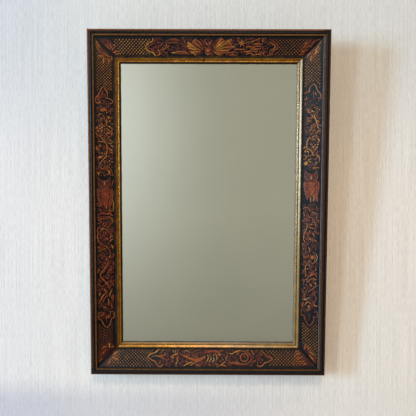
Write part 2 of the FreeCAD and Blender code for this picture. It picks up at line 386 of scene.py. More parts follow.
# %% [markdown]
# ## Lattice fields
# The corners carry a diaper of fine crossing lines, a common filling. It follows a rule, so it
# is worked out from the distance along and across instead of being drawn stroke by stroke.
# The small bosses on its crossings come later, by Geometry Nodes.

# %% Crossing lines and the places of their bosses
LATTICE_RISE = 0.2
BOSS_ROOM = (1.6, 1.4)  # the least distance from the panel's outer and inner edge
boss_places = []


def lattice(side, pitch, lines, dot, pixels):
    """Fills an outline with a net. Each of the two lines has a hue, a weight and a half width;
    each crossing gets a dot of (hue, radius)."""
    bed = beds[side]
    outline = bed.cast(pixels)
    spot = bed.window(outline, 1)
    field = np.clip(depth_inside(bed, spot, outline) / 1.5, 0, 1)
    x, y = bed.places(spot)
    for turn, (hue, weight, half) in zip((1, -1), lines):
        place = (x + turn * y) / math.sqrt(2) / pitch
        ridge = np.abs(place - np.round(place)) * pitch
        bulge = np.clip(1 - (ridge / half) ** 2, 0, 1) * field
        bed.lay(spot, weight * np.clip(bulge * 1.8, 0, 1), LATTICE_RISE * np.sqrt(bulge), hue)
    low, high = outline.min(0), outline.max(0)
    reach = int((high - low).sum() / pitch) + 4
    middle = (low + high) / 2
    start = np.round(np.array((middle[0] + middle[1], middle[0] - middle[1]))
                     / math.sqrt(2) / pitch).astype(int)
    count = 0
    for i in range(start[0] - reach, start[0] + reach):
        for j in range(start[1] - reach, start[1] + reach):
            p, q = i * pitch, j * pitch
            at = ((p + q) / math.sqrt(2), (p - q) / math.sqrt(2))
            if covers(outline, *at) and BOSS_ROOM[0] < at[1] < PANEL_SLOPE - BOSS_ROOM[1]:
                boss_places.append((side, *at, *dot))
                count += 1
    return count


def covers(outline, x, y, margin=1.2):
    """True if a point lies well inside an outline."""
    odd = False
    for (xa, ya), (xb, yb) in zip(outline, np.roll(outline, -1, axis=0)):
        if (ya > y) != (yb > y) and x < (xb - xa) * (y - ya) / (yb - ya) + xa:
            odd = not odd
        length = math.hypot(xb - xa, yb - ya)
        t = min(max(((x - xa) * (xb - xa) + (y - ya) * (yb - ya)) / length ** 2, 0), 1)
        if math.hypot(x - xa - t * (xb - xa), y - ya - t * (yb - ya)) < margin:
            return False
    return odd


# side, pitch (mm), the two lines, the dot, and the outline in the photograph
LATTICES = """
top 5.1 0.6,0.7,0.5 0.5,0.3,0.4 0.6,1.45 112,38.2 152,38 149,42.6 145.4,46.8 149,51.8 153.5,56
    120,56.4
top 5.2 0.5,0.5,0.5 0.5,0.4,0.45 0.54,1.05 269,38 313,38.2 300,56.5 268,56.5 272.5,53.5 277,50.6
    279,47 276,43
left 4.6 0.54,0.62,0.48 0.5,0.34,0.4 0.56,1.2 96,52 96,92 99,90 103,84.5 107.5,90 112.5,93 112.5,61
left 4.6 0.36,0.4,0.45 0.36,0.4,0.45 0.42,1 97.5,321 98,361 113.5,345 113.5,319 110.5,326 106.8,329
    102,325
right 5 0.66,0.55,0.5 0.66,0.35,0.45 0.62,1.25 321,46 303,62 303.5,89 309,85 314,81.5 318,85
    320.5,90
right 5 0.66,0.55,0.5 0.66,0.35,0.45 0.62,1.25 302,320 301.5,344 317,360 317.5,319 313.5,323.5
    309.6,328 305.5,323.5
bottom 5.3 0.66,0.5,0.5 0.66,0.34,0.45 0.66,1.3 117.5,349.5 105,366.5 157,366.5 153,362.5 146,357
    152,352 157,349
bottom 5.3 0.52,0.5,0.5 0.5,0.34,0.45 0.56,1.35 263,349.5 298,349.8 308,366.5 266,366.8 269,363
    274.3,358.6 269,354.5
"""
count = 0
for side, pitch, *words in read(LATTICES):
    first, second, dot, *outline = numbers(words)
    count += lattice(side, float(pitch), (first, second), dot, outline)
print("Bosses:", count)

# %% [markdown]
# ## Top rail: a bat between stars and clouds
# Common good-luck ornament. The points were chosen on an enlarged view of the
# photograph, in its pixels, so each figure sits where the photograph shows it.

# %% Top rail figures
TOP_CARTOUCHES = """
line gold 1.3 152.8,38.3 152.5,41.3 149.4,42.6 146.9,45.2 145.6,47.1 146.9,49.3 149.4,51.4
    153.3,52.8 154.9,55 157.1,56 159.3,54.7 159.6,51.9 158.4,49.9
line rust 0.9 154.5,39.1 154.2,43.2 151,44.8 147.5,47.4 150.1,48.7 153.9,50.6
wash dark_red 0.5 153.8,37.8 161,37.6 160.6,40.6 156,41.4
leaf rust 1.5 154.9,46.8 159.6,46.1 163,43.4
line rust 1.3 270.4,39.6 274.2,42.4 277.7,45.6 277.4,48.3 273.6,50.9 271.7,53.1 270.6,55.6
line 0.5 0.9 268.3,41.4 272.3,43.7 275.2,46.6 273,49.3 269.1,51.2
line rust 0.9 266.6,43.2 268.9,44 270.9,45.4
line 0.36 0.8 266,42 264.4,42.4 262.6,41.2 262.8,39.2 265,38.4 266,39.8 264.6,40.6
line 0.44 0.8 264.6,51.6 263.2,53.1 264.3,55.7 266.6,56 269.8,54.7 269.6,52.4
dot rust 1.2 265.8,53.3
"""
TOP_BAT = """
wash 0.42 0.8 187.9,39.4 186.8,44.5 182.3,46.4 186.8,49 189.3,52.2 195.4,54.8 202.7,50.9 203.9,48.3
    202.7,44.6 196,38.6 191.4,42.6
patch 0.58 0.7 187.8,39.6 191,43.4 196,47.4 200.6,49.9 194.6,50.2 188.6,48.8 186.9,45
leaf gold 1.5 189.4,51.4 192.6,52.6 195.6,54.6
leaf 0.5 1.3 191.6,51 196,51.8 200.6,51.2
line 0.54 0.8 191.6,42.9 193.4,41.4 195.9,38.6
leaf 0.3 1.8 195.8,39.4 199.6,42.4 202.6,46.6
leaf 0.4 1.6 194,42.4 197.4,45 201.4,47.8
line rust 0.8 182.2,46.5 187.4,46.6
dot gold 1.2 191.8,53.9 195.4,55
line bare 0.75 188.2,40.8 192.2,44 196.6,47 201.8,49.6
line bare 0.6 186,46.9 192,48 198.6,50
line bare 0.6 189.8,50.2 195.6,51 200.8,50.6
line bare 0.6 196.6,41 199.2,44.2 203,47.6
line dark_red 0.7 187.6,44 190.6,46 195.4,48.6
wash 0.42 0.8 212.6,49.2 212.7,45.5 218.4,38.8 221.6,37.6 223.9,40.4 231.6,39.1 230.4,44.6
    234.6,46.8 228.6,50.9 220.6,55.4
leaf dark_red 2.6 212.9,46.6 215.5,42.6 219,38.6
leaf 0.52 1.7 214.2,48 218.6,43.2 221.6,38.2
leaf 0.52 1.7 214.6,48.6 219.8,44.6 224.6,40.8
leaf 0.52 1.6 215,49.2 223.4,44.8 231.4,39.5
leaf 0.5 1.7 215.2,50 224,47.6 234.4,46.7
leaf 0.48 1.6 214.8,50.8 222,50.4 229,50.6
leaf 0.34 1.6 214,51.4 218.6,53.4 222.6,55
line 0.5 0.7 221.8,38 224.2,41 227.6,40.8 231.6,39.2 230.4,42.8 231.4,45.2 234.6,46.8 231,48.4
    228.8,51 227.2,53.6
line bare 0.6 214.4,47.6 219.4,42.8 222.6,39.6
line bare 0.6 215,48.9 222,44.9 228.4,40.8
line bare 0.6 215.4,49.9 223.6,46.3 231,43.2
line bare 0.6 215.2,50.8 222.4,49 231,48.4
line 0.56 0.7 212.3,50.6 216.8,54.1 220.6,55.4
leaf 0.3 1.2 206.2,43.4 205,41.4 204.1,39.2
leaf 0.3 1.2 209.6,43.4 211,41.8 212.2,39.6
wash 0.2 0.6 205.6,42.2 210.6,42.2 210.2,45.6 207.8,46.8 205.6,45.4
dot buff 0.9 206.6,43.4 207,44.8 209.4,42.8
line bare 0.6 206.2,45.8 209.8,45.9
dot rust 1.5 204.8,44.6 210.8,43.4
patch 0.14 0.7 205.6,47 210.6,47.2 211.4,50.8 207.8,54.9 204.5,51.8
dot bare 1.4 207.2,47.6 206,49
dot 0.5 2.0 208,50.6
dot 0.24 1.6 210,50
line bare 0.5 205.6,52 207.8,53.4 210,52.2
line buff 0.7 205.6,52.8 207.8,54.9 209.8,53
line bare 0.7 203.8,47.2 205.2,50.4
"""
TOP_STARS_AND_CLOUDS = """
dot 0.34 2.2 166.7,46.7
leaf 0.3 1.2 166.7,46.7 164.9,45.8 163.2,45.2
leaf 0.4 1.2 166.7,46.7 166.6,44.8 166.3,43.2
leaf 0.4 1.2 166.7,46.7 168.8,46.4 170.2,45.6
leaf 0.3 1.2 166.7,46.7 168.4,48.4 169,49.8
leaf 0.3 1.2 166.7,46.7 165.6,48.4 164.4,49.6
dot gold 3.4 241.4,43.2
leaf orange 1.2 241.4,43.2 239.4,42 237.6,40.4
leaf orange 1.2 241.4,43.2 241.8,41 242,39
leaf orange 1.2 241.4,43.2 243.2,41.8 245,40.8
leaf orange 1.2 241.4,43.2 244,43.6 246,43.6
leaf orange 1.2 241.4,43.2 243,45 244,46.6
leaf orange 1.2 241.4,43.2 240.8,45.4 240,47
leaf orange 1.2 241.4,43.2 239.2,43.8 237.2,44.6
faint 0.4 1.8 166.6,41 171,39.8 176.6,40.4 181.6,41.6
faint 0.45 2.0 168.4,43 174,42.6 179.4,43.6 183.6,44.6
line rust 0.8 170.5,38.8 175,39 180,40.2
faint 0.24 1.6 161.6,46 158.8,47 156.4,47
faint rust 1.4 172,47.4 176.4,48.2 181,48
line 0.62 1.5 172,52.7 176.6,52.7
wash 0.42 0.6 175.6,51 183,51.4 190,53 189.6,55 182,54.8 176.4,54
line 0.5 0.8 176.3,51.3 182,51.6 188.7,52.8
line dark_red 1.2 162.6,55.4 165.8,55.4
faint rust 1.6 168.4,50.4 171.6,50 174.6,50.6
faint dark_red 2.4 156,39.6 161.6,39.4
line 0.38 1.4 234.7,49.6 240,49.2 245.2,49.6
line 0.34 1.4 229.2,52.9 233.4,52.4 238.2,52.8
line 0.26 1.5 229.2,55.2 232.6,54.9 236.9,55.2
line 0.4 1.4 244,51.6 250,51.2 257.3,51.2
line 0.42 1.3 246,54.8 250,53.2 254.1,54.8 258,54.2 261,55
dot 0.5 1.3 247.6,52.6 255.8,52.8 252.2,55
line 0.38 1.6 252.6,44.3 256.8,43.8 262,44.1
line 0.3 1.4 254,46.4 258,46.2 262,46.6
line 0.36 1.5 246.4,47 250,46.8 254.6,47.6
line 0.4 1.4 250,49 255.4,49.2 260.6,48.6
faint olive 1.0 246,42.6 252,41.6 260,38.4
faint 0.3 1.8 247.4,39.6 252.6,38.8
"""
TOP_CORNERS = """
tint 0.08 1.2 97.5,38.6 107,38.6 111.6,41 114.6,46 118.4,51 115.4,55.8 105,47.6 97,40
leaf 0.4 1.2 104.2,43.4 107,46.4 110.4,49.8
leaf 0.46 1.1 110.4,42 110.8,46 113,50
leaf 0.34 1.0 107,41.6 108.2,44.6 110,47.4
line 0.5 1.1 113.6,49 115,46.4 114.2,44.6 112.8,45.4
leaf 0.46 1.3 118.4,50.4 115.4,52 112.4,53
leaf 0.4 1.1 119.6,53 117,54.4 114.8,54.6
tint 0.2 1.2 321,38.4 313,40.4 306,41.6 301.6,46 298.8,51 299.6,56 303.6,55.6 311.4,47.6
leaf 0.1 1.5 320.8,38.6 316,41.2 311,43.2
leaf 0.44 1.4 307,41.8 305.6,43.6 305,46
leaf 0.36 1.2 312.6,44.8 307,46.8 303,47
leaf 0.3 1.2 308,49 303.6,51.2 300.2,52
leaf 0.36 1.0 304,52.8 301,54.6 298.8,55.4
leaf 0.34 0.9 314,41.2 312.6,43.6 311.4,46
"""
print("Top strokes:", sum(draw(beds["top"], part) for part in (
    TOP_CARTOUCHES, TOP_BAT, TOP_STARS_AND_CLOUDS, TOP_CORNERS)))

# %% [markdown]
# ## Left stile: an owl among blossom branches
# From the top down: a corner leaf, lattice, a pointed cartouche end, a blossom branch, the owl
# on its perch, more branches, a leaf cluster, and the lower cartouche end and lattice.

# %% Left stile figures
LEFT_CARTOUCHES = """
tint 0.42 1.2 95.2,39.6 99.8,44.2 105,49.6 112.8,57.4 113,61.4 109,63.6 107.4,60.4 103.6,64.4
    101.6,59 97.2,57 98.6,53 95.6,46
leaf 0.56 1.3 96.2,40.6 98.4,45.2 101.8,50.4
leaf 0.5 1.0 95.8,44 97.6,48.6 101.2,52
leaf 0.5 1.2 100.6,51.6 105,54 110,57.6
leaf 0.5 1.3 104.2,56.4 103.6,60.2 102.8,64.2
leaf 0.54 1.4 107.4,57.8 108.8,60.8 108.6,64
leaf 0.46 1.0 110.8,55.6 112,58 111.8,61
leaf 0.42 1.0 97.6,55.6 101,56 104.4,55.8
line bare 0.5 97.6,43.8 101.4,50 106,54.8
dot buff 1.6 105.3,83.4
line orange 1.2 103.2,86.3 100.8,89.7 99.2,93.5 97.7,96 95.9,97.9 95.6,101.1 97.3,103 99.6,102.7
    99,100.2 97.3,99.4
line orange 1.2 103.2,86.3 105.6,89.7 107.4,93.2 107.5,96.7
line rust 0.9 103.2,90.6 101.8,93.8 101.2,97.3 98.6,98.6
line orange 1.0 105,94.4 105.6,97.9 107.9,98.3 109.8,99.2 112.3,100.5 112.3,102.7 110.4,103.9
line rust 1.1 107.5,101.5 109.4,103.2 108.8,105.3
leaf dark_red 1.4 103.1,91.5 103.2,95 103.1,98.8
line orange 1.1 101.1,312.4 98.4,313.3 97.7,316.4 99.6,319.4 101.9,320.2 103,323.3 106.8,327.3
    110.3,323.7 111.4,319.1 114,317.1 114.3,313.3 113,311.4 110.7,312.2 110.3,314.5
dot rust 1.3 102.4,315.4
faint rust 1.6 106.2,314 106.4,318 106.8,322
tint 0.12 1.2 98.4,365 97.6,354 101,346.4 108,342 114,344 117,347.6 112,352.8 105.6,359
leaf 0.62 1.9 108.8,342.4 109.4,345 109.6,347.6
leaf 0.44 1.4 107.4,346 104.6,346.8 102.2,348.8
leaf 0.46 1.1 110.8,347.6 113,346.4 114,345.2
leaf 0.3 1.2 106.8,349.6 103.6,352 101.2,354.6
leaf 0.4 1.2 99,362.6 100.6,360 103,357.6
"""
LEFT_UPPER_BRANCH = """
patch 0.36 0.6 99,110.6 101.4,108.2 105.6,108.8 105,111.2 101.6,111.8
line 0.5 1.0 97.3,116.8 99.6,114.2 102.1,113.9
line 0.36 1.1 103.1,115.2 104.2,117.4 104.7,120
dot 0.58 1.5 106.9,112.7 108.5,117.4
dot 0.36 1.8 101.2,118.4 112,117.8
dot 0.5 1.8 109.5,121.3
line 0.58 0.8 106.6,118.7 107,122 106.3,125.7
line 0.5 1.0 101.8,124.1 103,125.8 104.7,126.7
leaf 0.58 1.6 107.4,126 109.5,126.7 111.4,128
leaf 0.5 1.6 107,128.4 108.4,129.9 110.2,131
leaf 0.5 1.6 106.6,131.6 108,132.8 110.6,133.6
leaf 0.36 1.6 104.6,132.6 106.6,134.3 107.6,136.4
dot 0.5 1.9 97.2,127.3 99.7,125.6 98.3,131.1 102,130.9 102.2,127.6
dot buff 1.4 99.6,128.7
line 0.5 1.0 95.6,131.8 97,134.3 100.5,136.9 103.7,140.1 106.4,141.6
line 0.5 1.2 98.3,141.4 103.7,142 106.3,143.9 107.1,146.4 107.2,150.3 106.6,152.8 106,156.4
    103.4,159.3 100.5,162.8 98.9,164.7
leaf 0.36 1.6 109.6,138.8 110.4,140.4 112.2,141.2
line 0.58 0.9 107.5,142.3 110.4,143.8 113.4,141.4
leaf 0.5 1.8 110.2,145 112.3,146.1 113.8,148
leaf 0.5 1.6 109.2,148.4 111,149.6 112.6,151.6
leaf 0.36 1.5 110,152.6 111.6,152.6 113.4,153.8
leaf 0.36 2.0 98.6,150.4 96.9,148.7 96.4,146.4
leaf 0.36 1.8 101.6,147.4 100.2,145.6 99.8,143.6
dot 0.58 1.4 102.1,153.5 104.5,153.5
leaf 0.58 2.0 102.4,156 100.2,157.3 97.6,157.8
dot buff 1.1 108.7,156.4
dot 0.36 2.0 111,158.6 112.3,162.1 109.6,161
dot 0.5 1.3 102.4,165 99.2,167
faint dark_red 2.0 97,166.6 96.6,172.4 96.9,178.7
leaf 0.58 1.5 97.4,171.6 98.4,173.3 98.8,175.6
leaf 0.36 1.6 100.2,169.6 102,168.6 104.4,169.4
line 0.36 0.9 108.8,166.4 110.8,169.4 112.6,173.4
leaf 0.5 1.5 107,170 109,171.2 110.2,173.6
"""
LEFT_OWL = """
patch 0.1 1.0 98,188.4 104.4,187.2 112.4,188.4 113.2,194 111.8,202 109.5,210.4 107.4,205.4
    105.2,207.6 103.2,205.4 101.3,207.6 98.8,201 97.2,193.6
wash 0.08 1.0 98.4,177.4 100.6,180 104.5,180.8 108.2,180 110,177.4 110.3,184 108.8,187 104.4,187.8
    100,187 98.2,184
line 0.34 0.8 98.4,177.2 100.8,180.2 104.5,181.3 108,180.2 110,177.2
line 0.34 0.7 98.4,178.6 98.2,184 100,187.2 104.4,188 108.8,187.2 110.4,184 110,178.6
line 0.3 0.6 101,182 103.6,182.2 104,184.6 102,186 100,184.6 101,182
line 0.3 0.6 107.8,182 105.4,182.2 105,184.6 106.8,186 109,184.6 107.8,182
line bare 1.2 101.5,183.9 102.6,184
line bare 1.2 106.6,184 107.6,183.9
leaf 0.86 1.2 104.5,181.4 104.5,183.2 104.4,185.4
line 0.38 0.8 98,188.6 97.3,193 98.6,200 101.2,207.2
line 0.38 0.8 112.3,188.6 113.2,193.4 112,200.6 109.4,210
line bare 0.6 101.2,190.6 100.8,197 102.4,205
line bare 0.6 109.4,190.6 109.8,197 108,205.2
dot 0.46 1.1 102.6,190 104.8,189.6 107,190 103.8,192 106,192.2 108.2,192.4
dot 0.32 1.0 102.2,193.6 104.8,194.2 107.2,194.8 103.2,196.2 105.8,197 108,197.8 104,199 106.4,200.2
    104.8,202.4 99.4,191.6 99.2,195 100,198.6 111.2,191.4 111.6,195 110.8,199 109.8,203
line bare 0.5 103,195 105.6,195.8
line bare 0.5 104.2,197.6 107,198.8
line bare 0.5 103.8,200.8 106.4,201.8
line bare 0.5 103,191 107.6,191.2
leaf 0.5 1.1 106.6,205 106.6,207 106.6,209.4
dot gold 1.2 97.7,203.6 99.2,206.4 98.4,205 100.5,209.9
leaf rust 2.0 98.8,214.6 103,213.4 109.6,214.4
leaf dark_red 2.4 97.6,219 99.6,220.4 101.8,223
line orange 0.9 113.5,180.3 112.4,183.6 111.8,187.3
line 0.52 1.0 112.8,200 113.6,205 113,211
leaf 0.44 1.3 107,216.4 110.4,217.4 113.8,219.6
leaf 0.4 1.2 110,213.2 111.8,215 113.8,216
"""
LEFT_LOWER_BRANCH = """
dot rust 2.0 98.9,219.9 101.2,222.3 98.6,223.4 101.4,219
dot orange 1.5 103.4,218.6 108.5,219 103.6,223.6
leaf orange 1.7 110.6,219.4 112.4,220.8 113.6,223
line orange 0.9 104,226.9 105.4,225.6 106.6,224.7
line orange 1.2 100.8,231.4 102.4,229.4 104.6,228.7 107.4,230.6 109.8,233.3 113.6,236.6
leaf 0.48 1.2 110.4,234.2 110.8,236.4 110.2,238.8
line rust 0.9 105.3,232 107,233.4 108.5,235.2
line orange 1.2 98.6,227.5 97.4,231 98.4,233.3 97.4,235.8 98.3,240.3 99.6,242.8 103.4,245.1
    107.2,247.3 110.2,251.3 110.7,254.4
leaf orange 1.5 105.6,237.6 107.2,238.5 108.2,240.6
leaf 0.48 1.5 113.2,238.8 111.2,240.2 109.6,242
leaf 0.48 1.8 110.8,244.4 112.4,246.4 113.4,249
line orange 0.9 101.2,250.8 103.7,248.9 106.6,248.6
line orange 0.9 98,250.2 99.2,251.4 100.7,251.8
dot rust 1.8 101.5,255.6 104,256.5 102.2,258
line rust 1.0 105.3,258.3 107.9,259.8 109.1,262
leaf orange 1.6 109.4,258.4 109.8,256.6 111.2,255
leaf rust 1.6 113.4,252.8 113.6,255 112.6,257.4
line orange 1.4 107.9,262.6 106.6,265.4 104.6,268.6 101.4,272.6 100.5,276 103,279.2 106.6,282.7
    108.2,285 109.1,287.4
line rust 0.8 109,262.6 107.4,266.6 104.6,270.6 102.6,274.2
line rust 0.9 112,260 113.6,262.6 114,266 113.2,269
dot orange 1.7 111.7,267.4 109.1,275.6 107.5,278.2
dot rust 1.7 109.2,271 111.4,270.6 113.2,272.2 110.4,273.2 113,276.4
leaf rust 1.6 111,281 113,283.5 113.6,286.4
dot rust 1.5 99.2,260.7 98.6,264.2 98.6,268.7
faint orange 2.6 98.4,283.2 99.9,285.8
faint rust 1.8 97.4,277 97,280.4 98.2,290
leaf orange 1.6 104,288.2 105.4,290.6 107.2,292.6
leaf orange 1.6 112.6,288 110.9,291.9 109.3,296.9
leaf rust 1.6 113.3,293.6 113.4,297 113,301.7
leaf orange 1.7 106.7,292.5 102.8,296.1 100.3,301.7
leaf rust 1.6 107.8,294.8 104.7,298.4 102.4,303
leaf 0.48 1.4 100.5,292.3 100,294.2 99,296.2
dot rust 1.7 105.7,304.1 103,306.2
dot orange 1.6 105.7,307
leaf 0.48 1.6 108.2,298.4 108.8,302 108,306
leaf rust 1.5 111,303 112.2,306.4 111.4,309.8
"""
print("Left strokes:", sum(draw(beds["left"], part) for part in (
    LEFT_CARTOUCHES, LEFT_UPPER_BRANCH, LEFT_OWL, LEFT_LOWER_BRANCH)))

# %% [markdown]
# ## Right stile: the second owl
# It has the same plan as the left stile, with other leaves and a smaller bird below the owl.

# %% Right stile figures
RIGHT_CARTOUCHES = """
tint 0.34 1.2 321.6,40.4 321,47 317.4,54 312.6,60.6 308.6,59.6 304.8,57.4 310.4,50.6 316,45
leaf 0.44 1.0 321.6,40.6 320.2,42.8 318.2,44.8
leaf 0.66 1.2 319.4,45 316.2,49.6 315,54.2
leaf 0.66 1.0 318.4,51 315.8,52.6 313,55.8
leaf 0.48 1.3 312.2,55 311,58.2 311.4,61.6
leaf 0.7 0.9 311.4,52.8 309.2,54.4 306.6,57
leaf 0.3 1.0 314.6,48.6 312.2,51.4 310.4,52.4
line orange 1.1 314,83.7 310.8,86.5 309.5,89.7 309.2,91.9 307,92.2 304.4,94.1 303.8,97.3 305,99.6
    307,98.8 306.6,97
line orange 0.8 304.8,102.6 303.6,104 304.8,105.4 306,104 304.8,102.6
line orange 1.1 314,83.7 316.2,86.5 317.5,90.3 319.7,92.8 321,95.1 321,98 319.6,99 318.8,97.4
line gold 0.9 315.3,92.3 315.8,94 316.8,95
line rust 0.9 312,101 313.4,99.4 316.4,97.4
leaf dark_red 1.4 313.7,89.8 313.9,94 314,98.2
line rust 1.2 305,312 302.9,309.5 301.2,311.8 301.6,314.9 303.5,315.6 304.6,316.8 305.4,320.2
    309.6,325.9 313.8,320.6 313.6,316.8 316.3,317.9 317.6,314.1 316.1,311.4 314.4,312.6
faint dark_red 2.6 309.2,314.6 309.3,317 309.4,319.4
tint 0.3 1.2 301.4,346.4 306.6,343 310.4,349 316,354 318,363.8 311.4,358 305,351.4
leaf 0.4 1.2 306.4,343.4 305,347 303.8,350
leaf 0.46 1.4 308.8,351.6 312.4,353.6 315.8,356.4
leaf 0.5 1.2 308.6,354 311.2,357.4 314.4,359.6
leaf 0.36 1.1 310.6,357.4 313.4,360.4 316,363.4
leaf 0.2 1.1 307.6,347 309.6,348.6 312.4,349.4
"""
RIGHT_UPPER_BRANCH = """
dot 0.54 1.6 317.2,108.8 319.5,109.7
leaf 0.54 1.7 308,110.6 309.4,112.4 311.2,113.4
leaf gold 1.5 311.8,110.2 313,111.6 314.4,112.2
line 0.54 1.2 318.1,111.4 315.3,114.6 314.3,116.4 315.9,119.3 317.3,124.8 318.1,127.3
line 0.42 1.0 311.1,114.2 313,115.8 310.8,118.4
dot gold 1.3 307.6,117.9
line 0.54 1.0 307,121.4 309.6,121 311.8,120
dot 0.42 1.5 317.6,120.6 320,118.4
line 0.54 0.9 319,125.2 320.4,125.4 321.4,126.2
dot 0.54 1.5 318.3,127.7 310.2,130.7 313.4,131.1 311.8,128
dot buff 1.1 311.8,129.8
line 0.54 1.1 318.8,130.5 317,132.2 315.3,133.7
line 0.54 1.1 316.6,135 312.7,136.9 310.8,137.8 308.6,138.4 307.6,141 307.2,143.6 307,148.4
    309.9,150 312.1,152.2 312.7,155
line 0.42 0.9 313.7,138.2 315,139.6 316.2,141
dot gold 1.4 318.1,142.3
leaf 0.54 1.6 317.8,138 319,139.8 319.4,142
dot 0.54 1.8 311.7,144.5 313.4,147 317.2,147.1 318,144.4
dot gold 1.3 315.3,144.9
leaf 0.54 1.7 306.4,146.8 304.6,147.5 303,149.6
leaf 0.42 1.6 306.8,149.4 305.6,151 305.4,153.2
leaf gold 1.4 306.4,151.4 307.9,151.6 309,153
line 0.54 0.8 308.6,156.4 313.4,154.8 317.5,155.1 319.6,156.9 319.6,160.2 318.9,162.3
line 0.54 0.9 304.4,155 302.6,156.8 303.6,159.2 305.8,159 306.4,156.8 304.4,155
line gold 0.9 312.4,158.3 308.6,159.7 309.6,161.4 311.1,162.8
patch 0.54 0.8 307.9,160.6 308.3,163.6 306,166 303.8,164.4 304.8,162
dot 0.42 1.6 314.6,165 317,162.6
line 0.42 1.0 318.5,168.2 315.6,167.5 312.7,169.1
"""
RIGHT_OWL = """
wash 0.1 1.0 305.2,170.8 307.6,173.2 311.4,174.2 315,173.4 317.4,171.2 317.6,177.6 315.8,180.4
    311.4,181.2 307,180.4 305,177.6
patch 0.12 1.0 304.6,181 311.4,181.6 318.6,180.8 319.2,186 318,193 316.2,201.6 313.4,197 311,198.6
    309.2,197 307.4,200.6 305.2,193.6 304,186
line 0.34 0.8 305.2,170.6 307.6,173.4 311.4,174.6 315,173.6 317.4,171
line 0.34 0.7 305.4,172 305.1,177.6 307,180.6 311.4,181.4 315.8,180.6 317.6,177.6 317.3,172.2
line 0.26 0.7 307.8,175.8 310.2,176 310.4,178.6 308.4,179.6 306.8,178 307.8,175.8
line 0.26 0.7 315,175.8 312.8,176 312.4,178.6 314.4,179.6 316.2,178 315,175.8
leaf 0.8 1.2 311.5,175.2 311.5,177.4 311.4,180
line 0.44 0.7 304.6,181.4 304.2,186 305.4,193 307.4,200
dot 0.52 1.1 309.4,184.2 311.4,183.6 313.4,184.4 310.2,186.4 312.6,186.6 309.2,188.8 311.4,189.2
    313.6,189 310.4,191.6 312.6,191.8 311.4,194.2
line 0.36 0.8 318.4,181.4 319.1,186 318,193 316.2,201
line bare 0.55 307.8,182.6 307.6,188 308.8,195.6
line bare 0.55 315.4,182.6 315.6,188 314.4,195.6
line bare 0.8 308,177.7 309,177.9
line bare 0.8 314,177.9 315,177.7
line 0.58 0.9 310.2,195.6 310.4,198.8 310.8,202.2
line 0.58 0.9 313.9,195.2 314,198.6 313.8,201.8
line 0.1 0.7 312,197 312.2,199.4 312,202
leaf dark_red 1.8 317.6,196.6 318,199.4 317.6,202.6
wash 0.04 1.0 309.4,203.4 316,203.4 316.4,206.6 310,207
line 0.46 1.1 302.8,208.7 305,207.8 307.3,207.6 309.9,210.3 312,211.8 314.4,213.5
line 0.5 0.9 303.6,212.2 304.2,214.2 304.4,216.2
line 0.4 1.0 307.6,214.1 309.2,217 311.8,217.7 313.4,220
leaf dark_red 2.0 317.2,213.6 317.4,217 316.8,221
"""
RIGHT_LOWER_BRANCH = """
dot 0.34 1.6 302.9,221.1
leaf 0.48 1.6 309.8,223.4 311.2,224.5 312.8,224.6
line gold 1.0 309.5,227 311.4,228.2 313.9,228.4
dot gold 1.4 304.8,229.4
line 0.48 1.1 307.9,223.7 306.5,229.4 304.3,234.5 303.8,239.6 306.4,243.6
line 0.34 0.9 309.5,230.4 309.6,232 308.9,233.5
leaf 0.48 1.6 312,232.6 313.8,234.4 314.2,237
leaf 0.34 1.5 314.1,239.4 315.6,241 316.8,243
leaf 0.48 1.6 308.4,237.4 310.2,238.8 311,241
dot 0.34 1.7 303.2,243.8 303.6,249
dot 0.48 1.4 307,244.3
line 0.48 1.0 308.7,247.5 309.8,250 309.9,253
patch 0.48 0.9 312.4,254.6 314.6,257 313.2,259.8 310.8,259.4 310.2,256.4
line 0.34 1.0 314,254.4 315.4,257.4 314.4,260
line buff 0.8 315.7,253.8 317.2,255.9 316.9,259.8 314.3,262.6 312.2,264
line 0.48 1.0 310.5,260.7 307.6,263.6 305.7,266.5 305.4,269.6 305.7,273 305.6,276.9
dot gold 1.7 309.5,265
line 0.34 0.9 306.3,269.3 308.2,268.6 309.9,267.4
line 0.34 1.0 315.6,267.1 316.2,269.2 315.1,271.3
line 0.34 1.2 305.4,279.5 307.3,278.4 309.9,276.2 313.7,274.4 316.2,275.4 316.9,277.9
line 0.48 1.0 307.3,282.6 309.9,280.2 312.7,278.9 316.9,280
leaf 0.48 1.7 314,281.8 315.5,283.3 315.4,285.6
leaf 0.48 1.6 309.4,283.2 310.6,284.6 311.8,287
dot 0.34 1.9 306.2,284.8 304.6,287.8
line 0.34 1.1 317.3,285.3 314.4,287.8 311.9,289.6 308.5,291.9
dot 0.34 1.6 302.8,291.9 302.4,297
dot gold 1.5 304.2,294.2
leaf olive 1.6 302.2,299 305.2,299.4 308.5,298.2 311,297.4
line 0.48 1.2 305,304.9 306.5,302.8 308.8,302.3 311.3,303.9
line 0.34 0.9 305.6,299.3 306.4,300.6 307.5,301.9
dot 0.48 2.4 308.8,306.2
leaf 0.48 1.4 309,306.4 309.8,308.4 310.5,310
leaf 0.48 1.7 313.6,305 315.8,305.9 317.6,306.8
line 0.34 0.9 301.6,304.7 301.9,306.2 302.9,306.4
faint 0.48 1.6 314,294 316,298 315.4,302
faint 0.34 1.8 315.6,222 316.2,228 315.8,233
"""
print("Right strokes:", sum(draw(beds["right"], part) for part in (
    RIGHT_CARTOUCHES, RIGHT_UPPER_BRANCH, RIGHT_OWL, RIGHT_LOWER_BRANCH)))

# %% [markdown]
# ## Bottom rail: a long beast among blossom
# A crested head on the left, an arched and ribbed body in the middle, claws below it, and a
# tail that ends in a coil on the right.

